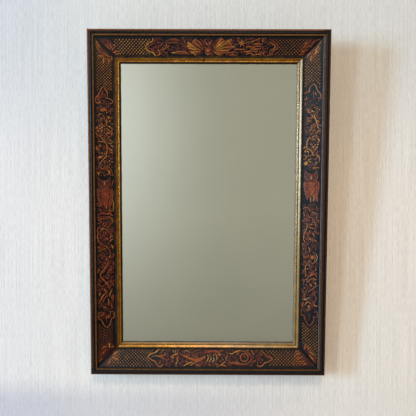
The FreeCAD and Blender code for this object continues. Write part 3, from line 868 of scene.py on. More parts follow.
# %% Bottom rail figures
BOTTOM_CARTOUCHES = """
tint 0.4 1.2 114,350.4 120.4,350.4 118.6,354.4 119.6,360 113,361.4 108.4,365.8 102,366 108,359.6
    113.6,353.8
leaf 0.48 1.6 112.6,355 116.4,352.4 119.8,351.2
leaf 0.5 1.6 112.6,356.8 115.8,359 119,359.4
leaf 0.46 1.2 110.8,357.4 109.8,361 108.2,364.8
leaf 0.36 1.0 113.6,355.6 116.6,355.4 119,356
leaf 0.1 1.1 113,352.4 115.4,350.8 118,350
line gold 1.4 147.4,356.8 151.1,353.9 155.6,352.3 157.9,350.1 160.7,349 163,349.1 163.4,350.5
    162.2,350.7
line orange 1.4 147.4,356.8 149.5,358.4 152.4,360.3 155.3,361.6 156.4,363.5 158.1,365.7 160.4,366.8
    162.2,365.6 163,363.9
line olive 0.9 151.3,357 154.4,355.9 157.6,356.4
line orange 1.2 155.4,355.4 159.1,356.2 163,355.5 165.5,354.3 164.4,352.9
line rust 1.1 159.8,357.1 163.3,358.7 166.7,359.6
dot rust 1.1 127.5,353 139.7,348.9 137.4,363.3 147.3,360.4
line orange 1.4 256.3,352 257.6,350 259.3,349.4 261.6,350.4 263.2,352.7 265.4,354.3 268.6,356.2
    272.4,358.6 270.5,360.6 268,362.2 264.8,362.9 263.2,364.8 260.9,366.3 258.7,366.4 257.3,365.4
    258,364.2
line dark_red 1.1 262.6,350.4 265.7,353.6 269.2,356.3
line rust 0.9 265,356 267.4,357.4 269.9,358.7
tint 0.4 1.2 300.4,349.8 296,351.6 293.4,356 291,362 298,365.8 315,366 309.6,359.6 304.4,353.8
leaf 0.5 1.2 301.2,352.4 297.6,353.8 293.8,355.8
leaf 0.22 1.2 300.2,350 297.4,351.4 294.6,352.6
leaf 0.4 1.2 303,357 299.6,358 296,358.4
leaf 0.36 1.1 305.4,360.6 301.6,361.4 298,361.4
leaf 0.42 1.0 309,363.6 306,364 302.6,364
"""
BOTTOM_HEAD = """
leaf 0.48 2.2 172.9,355.6 174.9,354.6 178.8,353.3
leaf rust 1.6 170.9,357.3 171.8,356 173.1,355
dot buff 1.1 173.2,357.6
leaf orange 1.4 175.9,353.4 175.5,351 175.9,348.8
leaf olive 1.2 174.6,353.2 173.4,351.4 172.4,350
leaf rust 1.4 177.4,353 178.1,351 177.6,349.2
line orange 1.1 177.3,356.2 177.2,358.6 177.8,360.9
dot gold 1.4 177.8,360.7
leaf buff 1.4 177,361 176.5,362.8 175.8,364.6
patch dark_red 0.8 170.3,359.6 174.4,359.4 174.2,362.6 170.6,362.9
leaf rust 1.3 178.8,362.4 179.6,363.8 180.4,365.6
leaf 0.24 2.3 179.4,354 183.9,355.8 189.6,358.4 194.8,360
dot 0.66 1.1 186.6,356.4 189.2,357.6 191.8,358.9 194.4,359.6 197,359.4
patch 0.34 0.8 188,356.6 193,358.2 199,357.6 204,356 203,359.6 196,361.6 190,360
dot rust 1.9 185.7,361.2
line gold 1.3 183.8,365.8 186.9,364.1 189.4,362.9 192.4,362.1
line orange 1.4 190.1,365.5 193.3,363.5 196.5,361.6 199.6,360.6 203,359.2
line orange 1.2 195.2,364.7 197.7,365.1 200.4,366.2
line gold 0.9 184.3,351.2 186.4,350.7 188.8,351.3
line rust 1.1 187.8,351.7 190.7,352.8 193.3,352.3 195.8,350.8 200.3,349.7 204,349.2
faint rust 1.6 195.4,353.4 199.4,352.6 202,354.4
dot buff 0.9 201.2,352.8
"""
BOTTOM_BODY = """
leaf rust 2.8 203.4,352.8 207.3,351.9 210.8,351.1 214.4,351.2 218,352 220.4,353.6 223,355.8
line dark_red 0.9 206,351 210.4,350 214.6,350.2
leaf gold 1.3 217.4,353.6 219.4,354.8 221,356.4
dot buff 1.5 210,355.3
dot gold 1.5 213.6,355.3 215.6,354.2
leaf orange 1.4 203.8,355.6 204.9,357 204.6,359.4
line 0.7 1.2 207.7,355 208.3,358.4 206.6,361.6
line 0.7 1.2 210.4,356.7 211.3,358.7 209,361.9
line 0.7 1.2 213.8,357.2 214.1,359.7 212.2,362.2
line 0.64 1.2 216.3,355.2 217,358.4 215.7,361
line dark_red 0.8 217.6,354.4 218.6,358 217.8,361
dot gold 1.2 222,357.8 223,359.3
line gold 1.2 227.6,355.6 226.1,358.4 226.9,360.4
leaf rust 1.6 218.8,361 220.4,361.7 222,361.4
dot dark_red 1.4 228,358.4 227.2,362.6
line olive 1.0 215.1,363.9 216.6,363.7 218.2,365.1
line gold 1.2 219.4,365.8 222.3,364.1 225.1,361.8
line orange 1.2 220,365.6 223,365.3 226.4,366.6
line gold 1.2 229.1,353.3 232.2,353.7 235.4,351.9 238.3,350.9 241.6,351
line rust 1.7 241,351 245.6,351.6 249.2,353.5 251.4,357.6 250.4,361.3 246.9,363.9 242.8,364
    239.5,363.6
line 0.34 1.5 244.3,353.6 241.2,355.2 240.5,358.2 242.4,361 245.4,361.3 247.9,359.2 248,356.2
    246.2,353.9 244.3,353.6
line 0.1 1.0 242.6,357.2 244.3,355.8 246,357.2 244.6,359
faint dark_red 1.8 226.4,350.6 230.4,349.9 234.4,350.4
leaf rust 2.4 228.1,362.6 234,363.2 241,363.4
dot 0.46 1.0 229.8,361.6 231.6,363.4 233.2,361.9 234.9,363.6 236.6,362.2 238.4,363.7
line rust 1.2 236,364.4 241,364.6 245.4,364.4 248.3,363.2
leaf gold 1.3 246.6,348.8 247.6,350 248.6,351
leaf orange 1.2 250.8,349.8 251.8,350.9 252.4,352.4
dot rust 1.7 255.5,361 258.4,360.2 257.8,362.7 260.9,362.5
dot orange 1.6 262.3,360.1
dot dark_red 1.6 260.6,358.6 252.2,365.6
"""
print("Bottom strokes:", sum(draw(beds["bottom"], part) for part in (
    BOTTOM_CARTOUCHES, BOTTOM_HEAD, BOTTOM_BODY)))

# %% [markdown]
# ## Small foliage between the figures
# The old painter left little bare ground: sprays of small leaves, berries and curls fill the
# gaps. Their places don't matter one by one, so they are set on a loose grid wherever nothing
# is drawn yet. Each spray is three to five leaves from one point, with a fixed seed.

# %% Sprays of leaves, berries and curls
EDGE_GAP = 2.5  # foliage keeps this far from the panel's edges (mm)
BARE_COVER = 0.22  # ground with less paint than this takes foliage


def free(bed, along, across, radius):
    """True if little is drawn around a point of the bed."""
    spot = bed.window(np.array([[along, across]]), radius)
    return bed.cover[spot].size > 0 and bed.cover[spot].mean() < BARE_COVER


def spray(bed, random, hues, centre, size):
    """Three to five bent leaves from one point."""
    start, count = random.uniform(0, 2 * math.pi), random.integers(3, 6)
    hue = hues[random.integers(len(hues))] + random.uniform(-0.06, 0.06)
    for k in range(count):
        turn = start + (k + random.uniform(-0.2, 0.2)) * 2 * math.pi / count
        bend, long = turn + random.uniform(-0.7, 0.7), size * random.uniform(0.7, 1.2)
        curve = centre + np.array([
            (0.15 * long * math.cos(turn), 0.15 * long * math.sin(turn)),
            (0.6 * long * math.cos(turn), 0.6 * long * math.sin(turn)),
            (long * math.cos(bend), long * math.sin(bend))])
        brush(bed, hue, size * random.uniform(0.2, 0.3), curve, True, 0.9, 0.34)


def curl(bed, random, hues, centre, size):
    start, way = random.uniform(0, 2 * math.pi), random.choice((-1, 1))
    turns = start + way * np.linspace(0, 4.2, 8)
    reach = size * np.linspace(1.0, 0.35, 8)
    curve = centre + np.column_stack([reach * np.cos(turns), reach * np.sin(turns)])
    brush(bed, hues[random.integers(len(hues))], 0.62, curve, False, 0.9, 0.3)


def fill(side, pixels, step, size, hues, seed, sprays, curls):
    """Sets small foliage into an outline (photograph points) where the bed is free."""
    bed, random = beds[side], np.random.default_rng(seed)
    outline = bed.cast(pixels)
    (left, low), (right, high) = outline.min(0), outline.max(0)
    count = 0
    for along in np.arange(left + step / 2, right, step):
        for across in np.arange(max(low, EDGE_GAP), min(high, PANEL_SLOPE - EDGE_GAP), step):
            at = np.array((along, across)) + random.uniform(-0.38, 0.38, 2) * step
            kind = random.random()
            if not covers(outline, *at, 0.8) or not free(bed, *at, size * 0.55):
                continue
            if kind < sprays:
                spray(bed, random, hues, at, size)
            elif kind < sprays + curls:
                curl(bed, random, hues, at, size * 0.7)
            else:
                boss(bed, hues[random.integers(len(hues))], size * 0.27, at)
            count += 1
    return count


def speckle(side, pixels, step, radius, hues, seed):
    """Small dabs of paint, and gaps (None) in it, over what is drawn in an outline."""
    bed, random = beds[side], np.random.default_rng(seed)
    outline = bed.cast(pixels)
    low, high = outline.min(0), outline.max(0)
    count = 0
    for along in np.arange(low[0], high[0], step):
        for across in np.arange(low[1], high[1], step):
            at = np.array((along, across)) + random.uniform(-0.35, 0.35, 2) * step
            if covers(outline, *at, 0.4):
                boss(bed, hues[random.integers(len(hues))], radius * random.uniform(0.7, 1.2), at)
                count += 1
    return count


# side, step (mm), size (mm), hues, seed, share of sprays, share of curls, outline
FOLIAGE = """
left 5.6 3.8 orange,orange,rust,0.52 11 0.6 0.15 96,96 112.5,96 113.5,176 97,176
left 4.2 4.2 rust,rust,dark_red,orange 12 0.5 0.2 97,203 113.3,203 113.5,318 98,318
right 7 3.6 orange,orange,rust,0.52 13 0.6 0.2 304,100 321,100 319.5,170 303.5,170
right 5.4 4.2 rust,rust,dark_red,orange 14 0.5 0.25 303,205 319.5,205 317,310 302,310
top 5.2 4 rust,rust,dark_red,orange 15 0.5 0.3 152,38 272,38 268,56 152,56
bottom 5 4 rust,rust,dark_red,orange 16 0.5 0.3 160,349.5 262,349.5 262,366.5 160,366.5
"""
count = 0
for side, step, size, hues, seed, sprays, curls, *outline in read(FOLIAGE):
    count += fill(side, numbers(outline), float(step), float(size), paints(hues), int(seed),
                  float(sprays), float(curls))
print("Small foliage:", count)

# side, step (mm), radius (mm), hues, seed, outline: first the eight corners, then the owls'
# feathers, the ground between the branches, and the bat
DABS = """
top 3.1 0.8 0.4,0.3,bare,0.2,bare 21 97.5,38.6 112,38.6 119,54 116.6,55.4
left 3.1 0.85 0.5,0.42,bare,0.32,bare 22 95.4,40 112.6,57.6 112.6,63 97,58
top 3.1 0.8 0.4,0.3,bare,0.2,bare 23 320,38.6 306,40 298.8,55.6 303.6,55.6
right 3.1 0.8 0.5,0.42,bare,0.32,bare 24 321.4,41 321,50 311,61 304,57
bottom 3.1 0.8 0.5,0.42,bare,0.32,bare 25 114,351 120.4,350.6 119,364 104,365.4
left 3.1 0.8 0.4,0.3,bare,0.2,bare 26 97.6,362 98,352 108,343 113.6,345
bottom 3.1 0.8 0.4,0.3,bare,0.2,bare 27 296,351.6 302,350.6 311,365.6 292,364.6
right 3.1 0.8 0.5,0.42,bare,0.32,bare 28 303,344 309,344 316,356 316.6,362
left 2.9 0.75 0.36,0.26,bare 29 98.4,189 112.4,189 111,201 108.6,208 101.6,206
right 2.9 0.75 0.5,0.36,bare 30 304.8,182 318.4,182 317,196 314,199 307,197
left 4.4 0.75 0.5,0.36,bare,bare 31 96.6,100 112.6,100 113.4,176 97.2,176
left 4 0.75 0.4,0.28,bare,bare 32 97.4,216 113.4,216 113.6,316 98,316
right 5 0.75 0.6,0.46,bare,bare 33 303.6,104 320.4,104 319.4,170 303.4,170
right 4.4 0.75 0.5,0.36,bare,bare 34 302.8,206 319,206 317,312 302,312
top 4.8 0.7 0.4,0.3,bare,bare 35 155,39 270,39 267,55.4 155,55.4
bottom 4.8 0.7 0.46,0.3,bare,bare 36 160,350 262,350 262,366 160,366
top 4.2 0.6 bare,0.3,bare 39 183,39 233,39 229,56 187,56
top 3.6 0.8 bare,bare,0.3 37 232,38.6 281,38.6 278,56 232,56
left 3.8 0.75 bare,bare,0.3 38 97.4,208 113.4,208 113.6,262 97.6,262
"""
count = 0
for side, step, radius, hues, seed, *outline in read(DABS):
    count += speckle(side, numbers(outline), float(step), float(radius), paints(hues), int(seed))
print("Dabs:", count)

# %% [markdown]
# ## Shared effects for the materials
# Several finishes need the same things: worn patches, fine grime, wood grain, and the place
# across the frame's section. Each is a node group with named inputs, so that every material can
# use it with its own values. First come helpers: what a node puts out is a signal, and sums of
# signals are written as ordinary sums, which add the Math nodes.

# %% Signals and sums
FLOAT = "NodeSocketFloat"
tree = None  # the node tree that is being built; new_group and new_material set it


class Signal:
    """What a node puts out. Each sum with it adds a Math node to the tree."""

    def __init__(self, socket):
        self.socket = socket

    def __add__(self, other):
        return calc("ADD", self, other)

    def __sub__(self, other):
        return calc("SUBTRACT", self, other)

    def __rsub__(self, other):
        return calc("SUBTRACT", other, self)

    def __mul__(self, other):
        return calc("MULTIPLY", self, other)

    def __truediv__(self, other):
        return calc("DIVIDE", self, other)

    def __neg__(self):
        return calc("MULTIPLY", self, -1.0)

    def __abs__(self):
        return calc("ABSOLUTE", self)


class Outputs:
    """The outputs of a node, by their number or name."""

    def __init__(self, made):
        self.made = made

    def __getitem__(self, place):
        return Signal(self.made.outputs[place])


def link(value, socket):
    """Leads a signal to an input, or sets a plain value there."""
    if isinstance(value, Signal):
        tree.links.new(value.socket, socket)
    else:
        socket.default_value = value


def node(kind, **settings):
    """Adds a node; inputs are given as in_<index or name> and properties by their own name."""
    made = tree.nodes.new(kind)
    for key, value in settings.items():
        if not key.startswith("in_"):
            setattr(made, key, value)
    for key, value in settings.items():
        if key.startswith("in_"):
            place = key[3:]
            link(value, made.inputs[int(place) if place.isdigit() else place.replace("_", " ")])
    return Outputs(made)


def calc(operation, first, second=0.0):
    return node("ShaderNodeMath", operation=operation, in_0=first, in_1=second)[0]


print("Signals take + - * / and abs; the node kinds for them: ShaderNodeMath")

# %% Common nodes
def srgb(red, green, blue):
    """A paint colour as seen (0-255) as the linear values that the nodes take."""
    values = [c / 255 for c in (red, green, blue)]
    return (*[c / 12.92 if c <= 0.04045 else ((c + 0.055) / 1.055) ** 2.4 for c in values], 1.0)


def clamp(signal):
    """Holds the result of a sum between 0 and 1."""
    signal.socket.node.use_clamp = True
    return signal


def largest(first, *others):
    for other in others:
        first = calc("MAXIMUM", first, other)
    return first


def smooth_step(value, low, high):
    return node("ShaderNodeMapRange", interpolation_type="SMOOTHSTEP", in_0=value, in_1=low,
                in_2=high)[0]


def mix(share, first, second, blend="MIX"):
    return node("ShaderNodeMix", data_type="RGBA", blend_type=blend, in_0=share, in_6=first,
                in_7=second)[2]


def shade(colour, red, green=None, blue=None):
    """A colour multiplied by a grey tone, or by three tones."""
    tones = node("ShaderNodeCombineColor", in_0=red, in_1=green or red, in_2=blue or red)[0]
    return mix(1.0, colour, tones, "MULTIPLY")


def ramp(share, stops, constant=False):
    outputs = node("ShaderNodeValToRGB", in_0=share)
    scale = outputs.made.color_ramp
    scale.interpolation = "CONSTANT" if constant else "LINEAR"
    while len(scale.elements) < len(stops):
        scale.elements.new(0.5)
    for element, (place, colour) in zip(scale.elements, stops):
        element.position = place
        element.color = colour
    return outputs[0]


def object_point():
    return node("ShaderNodeTexCoord")["Object"]


def position():
    """The object coordinates x, y and z, by number (m)."""
    return node("ShaderNodeSeparateXYZ", in_0=object_point())


def noise(scale, detail=4.0, roughness=0.55):
    return node("ShaderNodeTexNoise", in_Vector=object_point(), in_Scale=scale,
                in_Detail=detail, in_Roughness=roughness)["Fac"]


def bump(height, depth, strength=1.0):
    return node("ShaderNodeBump", in_Height=height, in_Distance=depth, in_Strength=strength)[0]


print("A mid grey of 128 in linear light:", round(srgb(128, 128, 128)[0], 4))

# %% New groups and materials
def new_group(name, inputs, outputs):
    """A shader group with named inputs and their values, and with named outputs."""
    global tree
    tree = bpy.data.node_groups.new(name, "ShaderNodeTree")
    for label, value in inputs.items():
        socket = tree.interface.new_socket(label, in_out="INPUT", socket_type=FLOAT)
        socket.default_value = value
    for label in outputs:
        tree.interface.new_socket(label, in_out="OUTPUT", socket_type=FLOAT)
    return tree, node("NodeGroupInput"), tree.nodes.new("NodeGroupOutput").inputs


def place_group(group, **values):
    return node("ShaderNodeGroup", node_tree=group, **{"in_" + k: v for k, v in values.items()})


def new_material(name, **settings):
    """A material with uniform values on its shader; gives back the shader's inputs too."""
    global tree
    material = bpy.data.materials.new(name)
    material.use_nodes = True
    tree = material.node_tree
    shader = tree.nodes["Principled BSDF"].inputs
    for label, value in settings.items():
        shader[label.replace("_", " ")].default_value = value
    return material, shader


print("Materials of the packed model:", len(bpy.data.materials))

# %% [markdown]
# "Worn" puts out patches where a finish is rubbed through: two noises of different size, cut
# at a threshold. "Grime" is a soft cloud with fine specks. "Section" works out how far a point
# is from the frame's outer edge, and how near it is to a mitre, from the object coordinates.

# %% Worn, grime and section groups
worn_group, enter, leave = new_group(
    "worn patches", {"Patch Scale": 60.0, "Fleck Scale": 900.0, "Amount": 0.45, "Softness": 0.12},
    ["Mask", "Fleck"])
large = noise(enter["Patch Scale"], 5.0, 0.6)
small = noise(enter["Fleck Scale"], 3.0, 0.6)
both = small * 0.45 + large * 0.55
edge = 1 - (enter["Amount"] * 0.7 + 0.12)
link(smooth_step(both, edge - enter["Softness"], edge + enter["Softness"]), leave["Mask"])
link(small, leave["Fleck"])

grime_group, enter, leave = new_group(
    "grime", {"Cloud Scale": 18.0, "Speck Scale": 1400.0, "Amount": 0.5}, ["Mask"])
cloud = smooth_step(noise(enter["Cloud Scale"], 5.0, 0.62), 0.4, 0.7)
speck = smooth_step(noise(enter["Speck Scale"], 2.0, 0.5), 0.6, 0.72)
total = speck * 0.5 + cloud * 0.6
link(clamp(total * enter["Amount"]), leave["Mask"])

section_group, _, leave = new_group("frame section", {}, ["Inset", "Mitre"])
split = position()
from_side = HALF_WIDTH / 1000 - abs(split[0])
from_end = HALF_HEIGHT / 1000 - abs(split[2])
link(calc("MINIMUM", from_side, from_end) * 1000.0, leave["Inset"])
link(abs(from_side - from_end) * 1000.0, leave["Mitre"])

grain_group, enter, leave = new_group(
    "wood grain", {"Across Scale": 90.0, "Along Scale": 4.0, "Upright": 1.0, "Contrast": 1.0},
    ["Streak", "Pore"])
split = position()
level = enter["Across Scale"] - enter["Along Scale"]
scale_z = enter["Across Scale"] - level * enter["Upright"]
scale_x = level * enter["Upright"] + enter["Along Scale"]
point = node("ShaderNodeCombineXYZ", in_0=split[0] * scale_x,
             in_1=split[1] * enter["Across Scale"], in_2=split[2] * scale_z)[0]
warped = node("ShaderNodeTexNoise", in_Vector=point, in_Scale=1.0, in_Detail=6.0,
              in_Roughness=0.6, in_Distortion=0.4)["Fac"]
streak = smooth_step(warped, 0.34, 0.68)
link(streak * enter["Contrast"], leave["Streak"])
fine = node("ShaderNodeTexNoise", in_Vector=point, in_Scale=6.5, in_Detail=3.0)["Fac"]
link(smooth_step(fine, 0.58, 0.7), leave["Pore"])


MITRE = (HALF_WIDTH - HALF_HEIGHT) / 1000  # the mitres lie where |x| - |z| has this value
MITRE_BLUR = 0.0002


def right_side(place):
    """A mask of the frame's right side, which ends at the mitres."""
    return smooth_step(place[0] - abs(place[2]), MITRE - MITRE_BLUR, MITRE + MITRE_BLUR)


def bottom_side(place):
    return smooth_step(-place[2] - abs(place[0]), -MITRE - MITRE_BLUR, -MITRE + MITRE_BLUR)


print("Groups:", [g.name for g in bpy.data.node_groups])

# %% [markdown]
# ## Painted sheet
# The ground is a nearly black lacquer that has gone brown in patches. The figures are painted
# over the pressed relief. Both are rubbed, so the worn mask thins the paint, and grime dulls it.

# %% Painted sheet material
painted, shader = new_material("painted sheet", Specular_IOR_Level=0.31)
paint = node("ShaderNodeAttribute", attribute_name="Paint")["Color"]
paint = node("ShaderNodeSeparateColor", in_0=paint)
worn = place_group(worn_group, Patch_Scale=70.0, Fleck_Scale=700.0, Amount=0.5, Softness=0.16)
grime = place_group(grime_group, Cloud_Scale=22.0, Speck_Scale=1300.0, Amount=0.55)
ground = ramp(noise(26.0, 6.0, 0.65), [
    (0.36, srgb(8, 11, 17)), (0.54, srgb(14, 14, 18)), (0.72, srgb(38, 25, 20))])
hue = (noise(150.0, 3.0) - 0.5) * 0.3 + paint[1]
figure = ramp(hue, [
    (DARK_RED, srgb(90, 27, 24)), (RUST, srgb(138, 54, 23)), (ORANGE, srgb(168, 91, 29)),
    (GOLD, srgb(192, 137, 38)), (BUFF, srgb(150, 132, 108)), (OLIVE, srgb(104, 97, 60))])
figure = shade(figure, worn["Fleck"] + 0.35)
share = clamp(paint[0] * (1 - worn["Mask"] * 0.7))
colour = mix(share, ground, figure)
colour = mix(grime["Mask"] * 0.12, colour, srgb(70, 58, 48))
section = place_group(section_group)
seam = 1 - smooth_step(noise(60.0, 3.0) * -0.8 + section["Mitre"], 0.2, 0.8)
colour = mix(seam * 0.85, colour, srgb(9, 8, 8))
link(colour, shader["Base Color"])
link(share * 0.1 + (grime["Mask"] * 0.25 + 0.34), shader["Roughness"])
height = worn["Fleck"] * 0.6 + noise(2600.0, 2.0)
link(bump(height, 0.00006, 0.5), shader["Normal"])
print("Painted sheet:", len(tree.nodes), "nodes")

# %% [markdown]
# ## Lacquered moulding
# One moulding carries three colours in bands: red-brown, blue-black and ochre. They could be
# three strips of wood, but the section is one run, so the colour changes with the inset. The
# arrises are rubbed down to a warm brown, and the mitres show as fine dark lines.

# %% Lacquered moulding material
# insets (mm) of the outer fillet's end and of the inner rim with its painted highlight, and the
# faces (m) that carry painted shade
FILLET_END, INNER_RIM_HIGHLIGHT = (4.4, 4.8), (14.9, 15.1)
LOW_FACE, RIGHT_FACE = (0.366, 0.370), (0.247, 0.251)

lacquer, shader = new_material("lacquered moulding", Specular_IOR_Level=0.2)
section = place_group(section_group)
worn = place_group(worn_group, Patch_Scale=95.0, Fleck_Scale=800.0, Amount=0.52, Softness=0.1)
grime = place_group(grime_group, Cloud_Scale=30.0, Speck_Scale=1200.0, Amount=0.6)
waver = (noise(160.0, 3.0) - 0.5) * 0.5
inset = section["Inset"] + waver
bands = ramp(inset / PANEL_OUTER[0], [
    (0.0, srgb(28, 18, 14)), (0.02, srgb(106, 61, 25)), (0.24, srgb(12, 16, 24)),
    (0.69, srgb(98, 64, 24)), (0.91, srgb(11, 11, 13))], constant=True)
rubbed = ramp(inset / PANEL_OUTER[0], [
    (0.0, srgb(84, 48, 22)), (0.24, srgb(34, 27, 24)), (0.69, srgb(62, 36, 18)),
    (0.91, srgb(20, 15, 13))], constant=True)
colour = mix(worn["Mask"] * 0.75, bands, rubbed)
split = position()
# painted shade: the bottom and right faces are darkened, most on the outer fillet
shaded = largest(smooth_step(-split[2], *LOW_FACE), smooth_step(split[0], *RIGHT_FACE))
shade_strength = smooth_step(section["Inset"], *FILLET_END) * -0.5 + 0.72
colour = mix(shaded * shade_strength, colour, srgb(24, 15, 12))
colour = shade(colour, worn["Fleck"] * 0.8 + 0.6)
colour = mix(grime["Mask"] * 0.08, colour, srgb(90, 76, 62))
# painted highlight: a pale blue-grey line along the right side's inner rim
rim = right_side(split) * smooth_step(section["Inset"], *INNER_RIM_HIGHLIGHT)
colour = mix(rim, colour, srgb(104, 106, 112))
seam = 1 - smooth_step(section["Mitre"], 0.25, 0.9)
colour = mix(seam * 0.95, colour, srgb(8, 7, 7))
link(colour, shader["Base Color"])
rough = worn["Mask"] * 0.22 + (grime["Mask"] * 0.3 + 0.27)
link(shaded * 0.25 + rough, shader["Roughness"])
height = noise(520.0, 4.0) * 0.5 - seam * 1.5
link(bump(height, 0.00012, 0.6), shader["Normal"])
print("Lacquered moulding:", len(tree.nodes), "nodes")

# %% [markdown]
# ## Gilding
# Leaf gold over red bole: the gold is a metal, and where it is rubbed the red clay shows and
# shines less. The quirk, the outer part of the slip and a band by the sight edge are darkened by
# grime and painted shade, so the darkening depends on the inset. The right and the bottom runs
# are duller and greyer, as in the photograph, and their sight fillet carries a painted highlight.

# %% Marks at places of the photograph
SLIP_HEIGHT = 19.0
CHIPS = [((202.2, 58.6), 1.8), ((205.6, 58.4), 1.4), ((121.6, 141.6), 2.2)]
NICKS = [((203.6, 60.2), 2.4), ((121.9, 142.6), 1.5), ((118.4, 118), 1.0), ((116.8, 137), 1.2)]


def cast_plane(pixel, height):
    """A photograph point on the plane at a height above the back of the rails, in metres."""
    flat = np.array([(pixel[0] - IMAGE_SIZE / 2) / FOCAL_PIXELS,
                     (IMAGE_SIZE / 2 - pixel[1]) / FOCAL_PIXELS, -1.0])
    ray = np.array(camera_turn) @ flat
    return EYE + ray * ((-(WALL_GAP + height) / 1000 - EYE[1]) / ray[1])


def near_points(places, height, fineness, raggedness, fade):
    """A ragged mask around photograph points, each with a radius. The fade says how far outside
    the radius the mask begins and ends to fade (all in millimetres)."""
    found = 0.0
    for pixel, radius in places:
        apart = node("ShaderNodeVectorMath", operation="DISTANCE", in_0=object_point(),
                     in_1=tuple(cast_plane(pixel, height)))["Value"]
        ragged = noise(fineness, 3.0) * (raggedness / 1000) + apart
        found = largest(found, 1 - smooth_step(ragged, *((radius + f) / 1000 for f in fade)))
    return found


print("Marks on the slip:", len(CHIPS), "chips and", len(NICKS), "nicks")

# %% Gilding material
# insets (mm) of the slip's darkened outer part, its quirk, its sight fillet and the darkened band
# beside it; the darkening is painted shade with some grime
OUTER_SHADE_AND_DIRT, QUIRK, SIGHT, SIGHT_SHADE_AND_DIRT = (58.9, 59.6), 63.2, (66.9, 67.3), (67.1, 67.7)

gilding, shader = new_material("gilding", IOR=1.5, Coat_Roughness=0.28,
                               Specular_IOR_Level=0.3)
section = place_group(section_group)
worn = place_group(worn_group, Patch_Scale=120.0, Fleck_Scale=1000.0, Amount=0.56, Softness=0.12)
grime = place_group(grime_group, Cloud_Scale=34.0, Speck_Scale=1100.0, Amount=0.6)
uneven = noise(90.0, 4.0) * 1.2 + section["Inset"]
split = position()
on_right, on_bottom = right_side(split), bottom_side(split)
# painted highlight: the sight fillet of the right and bottom runs, which face the light, is pale
# grey and not metallic
sight = smooth_step(section["Inset"], *SIGHT) * (on_right + on_bottom)
recess = largest(1 - smooth_step(abs(section["Inset"] - QUIRK), 0.1, 0.7),
                 1 - smooth_step(uneven, *OUTER_SHADE_AND_DIRT),
                 clamp(smooth_step(uneven, *SIGHT_SHADE_AND_DIRT) - sight))
dulled = largest(on_right * (smooth_step(section["Inset"], 61.0, 63.0) * -0.5 + 0.88),
                 on_bottom * (smooth_step(split[0], -0.08, 0.12) * 0.5 + 0.1))
leaf_gold = ramp(noise(45.0, 5.0, 0.6), [
    (0.3, srgb(150, 94, 10)), (0.5, srgb(186, 126, 18)), (0.7, srgb(216, 160, 36))])
bole = worn["Mask"] * (on_right * -0.6 + (on_bottom * -0.45 + 0.8))
colour = mix(bole, leaf_gold, srgb(98, 54, 20))
colour = mix(dulled, colour, srgb(116, 100, 62))
mottle = smooth_step(noise(380.0, 3.0), 0.5, 0.66)
mottle = mottle * (on_bottom * 0.5 + on_right * 0.2)
colour = mix(mottle * 0.5, colour, srgb(66, 46, 28))
# painted shade with some grime: the quirk, the slip's outer part and the band by the sight edge go
# dark
grime_and_shade = clamp(recess * 0.92 + grime["Mask"] * (on_right * -0.2 + 0.3))
colour = mix(grime_and_shade, colour, srgb(20, 13, 9))
# the painted highlight on the right and bottom sight fillet
colour = mix(sight * 0.85, colour, srgb(122, 112, 102))
chip, nick = (near_points(places, SLIP_HEIGHT, 900.0, 2.2, (0.6, 1.6))
              for places in (CHIPS, NICKS))
colour = mix(chip * 0.8, colour, srgb(104, 94, 84))
colour = mix(nick, colour, srgb(14, 10, 9))
seam = 1 - smooth_step(section["Mitre"], 0.2, 0.8)
colour = mix(seam * 0.85, colour, srgb(20, 14, 10))
link(colour, shader["Base Color"])
bare = clamp(1 - largest(bole, chip, nick, grime_and_shade * 0.8, seam))
link(bare * 0.92 * (1 - largest(sight, dulled * 0.9)), shader["Metallic"])
coat = ((on_right + on_bottom) * 0.4 + 0.35) * (1 - nick)
link(coat * (recess * -0.97 + 1.0), shader["Coat Weight"])
rough = grime_and_shade * 0.45 + (worn["Fleck"] * 0.2 + 0.26)
link(mottle * 0.2 + rough, shader["Roughness"])
height = worn["Mask"] * -0.5 + noise(300.0, 2.0)
link(bump(height, 0.00008, 0.35), shader["Normal"])
print("Gilding:", len(tree.nodes), "nodes")

# %% [markdown]
# ## Old mirror glass
# The silver behind the glass has a few brown specks, and a darker, rougher band along the slip.
# Just inside the slip the colour carries a painted reflection of the slip's underside, dark on most
# sides and pale on the right: the silver lies 3 mm deeper than the slip's edge. Each speck
# is a point of the photograph cast onto the glass, because they are particular to this mirror.

# %% Mirror material
GLASS_HEIGHT = 12.0
DULL_EDGE, MIRRORED_SLIP = (66.2, 68.4), (68.9, 69.6)  # insets (mm)
SPECKS = [((223, 235), 0.7), ((240.6, 235.5), 0.6), ((162, 302), 0.7), ((144, 243), 0.5),
          ((142, 121), 0.6), ((271, 284), 0.45), ((287, 76), 0.5)]

silver, shader = new_material("silvered glass", Metallic=1.0, IOR=1.5)
spots = near_points(SPECKS, GLASS_HEIGHT, 1500.0, 1.6, (0.0, 1.3))
section = place_group(section_group)
rim = 1 - smooth_step(noise(70.0, 5.0) * -5.0 + section["Inset"], *DULL_EDGE)
dust = smooth_step(noise(1700.0, 2.0), 0.66, 0.8)
on_right = right_side(position())
# painted reflection of the slip's underside: dark, and pale on the right side
under = 1 - smooth_step(section["Inset"], *MIRRORED_SLIP)
dull = largest(spots * 0.6, rim * 0.5, dust * 0.05)
clear = ramp(noise(5.0, 3.0), [(0.3, srgb(240, 242, 238)), (0.7, srgb(246, 247, 243))])
colour = mix(dull, clear, srgb(122, 108, 90))
colour = mix(under, colour, mix(on_right, srgb(30, 25, 22), srgb(206, 198, 192)))
link(colour, shader["Base Color"])
link(dull * 0.35 + 0.012, shader["Roughness"])
link(bump(noise(9.0, 2.0), 0.00004, 0.25), shader["Normal"])
print("Mirror specks (m):", [[round(float(c), 3) for c in cast_plane(pixel, GLASS_HEIGHT)]
                             for pixel, _ in SPECKS])

# %% [markdown]
# ## Woods, paper, metals and felt
# These finishes belong to the back. The core wood is stained dark with a streaky grain that
# follows each member. The backboard and keys are bare, the hangers are dulled brass.

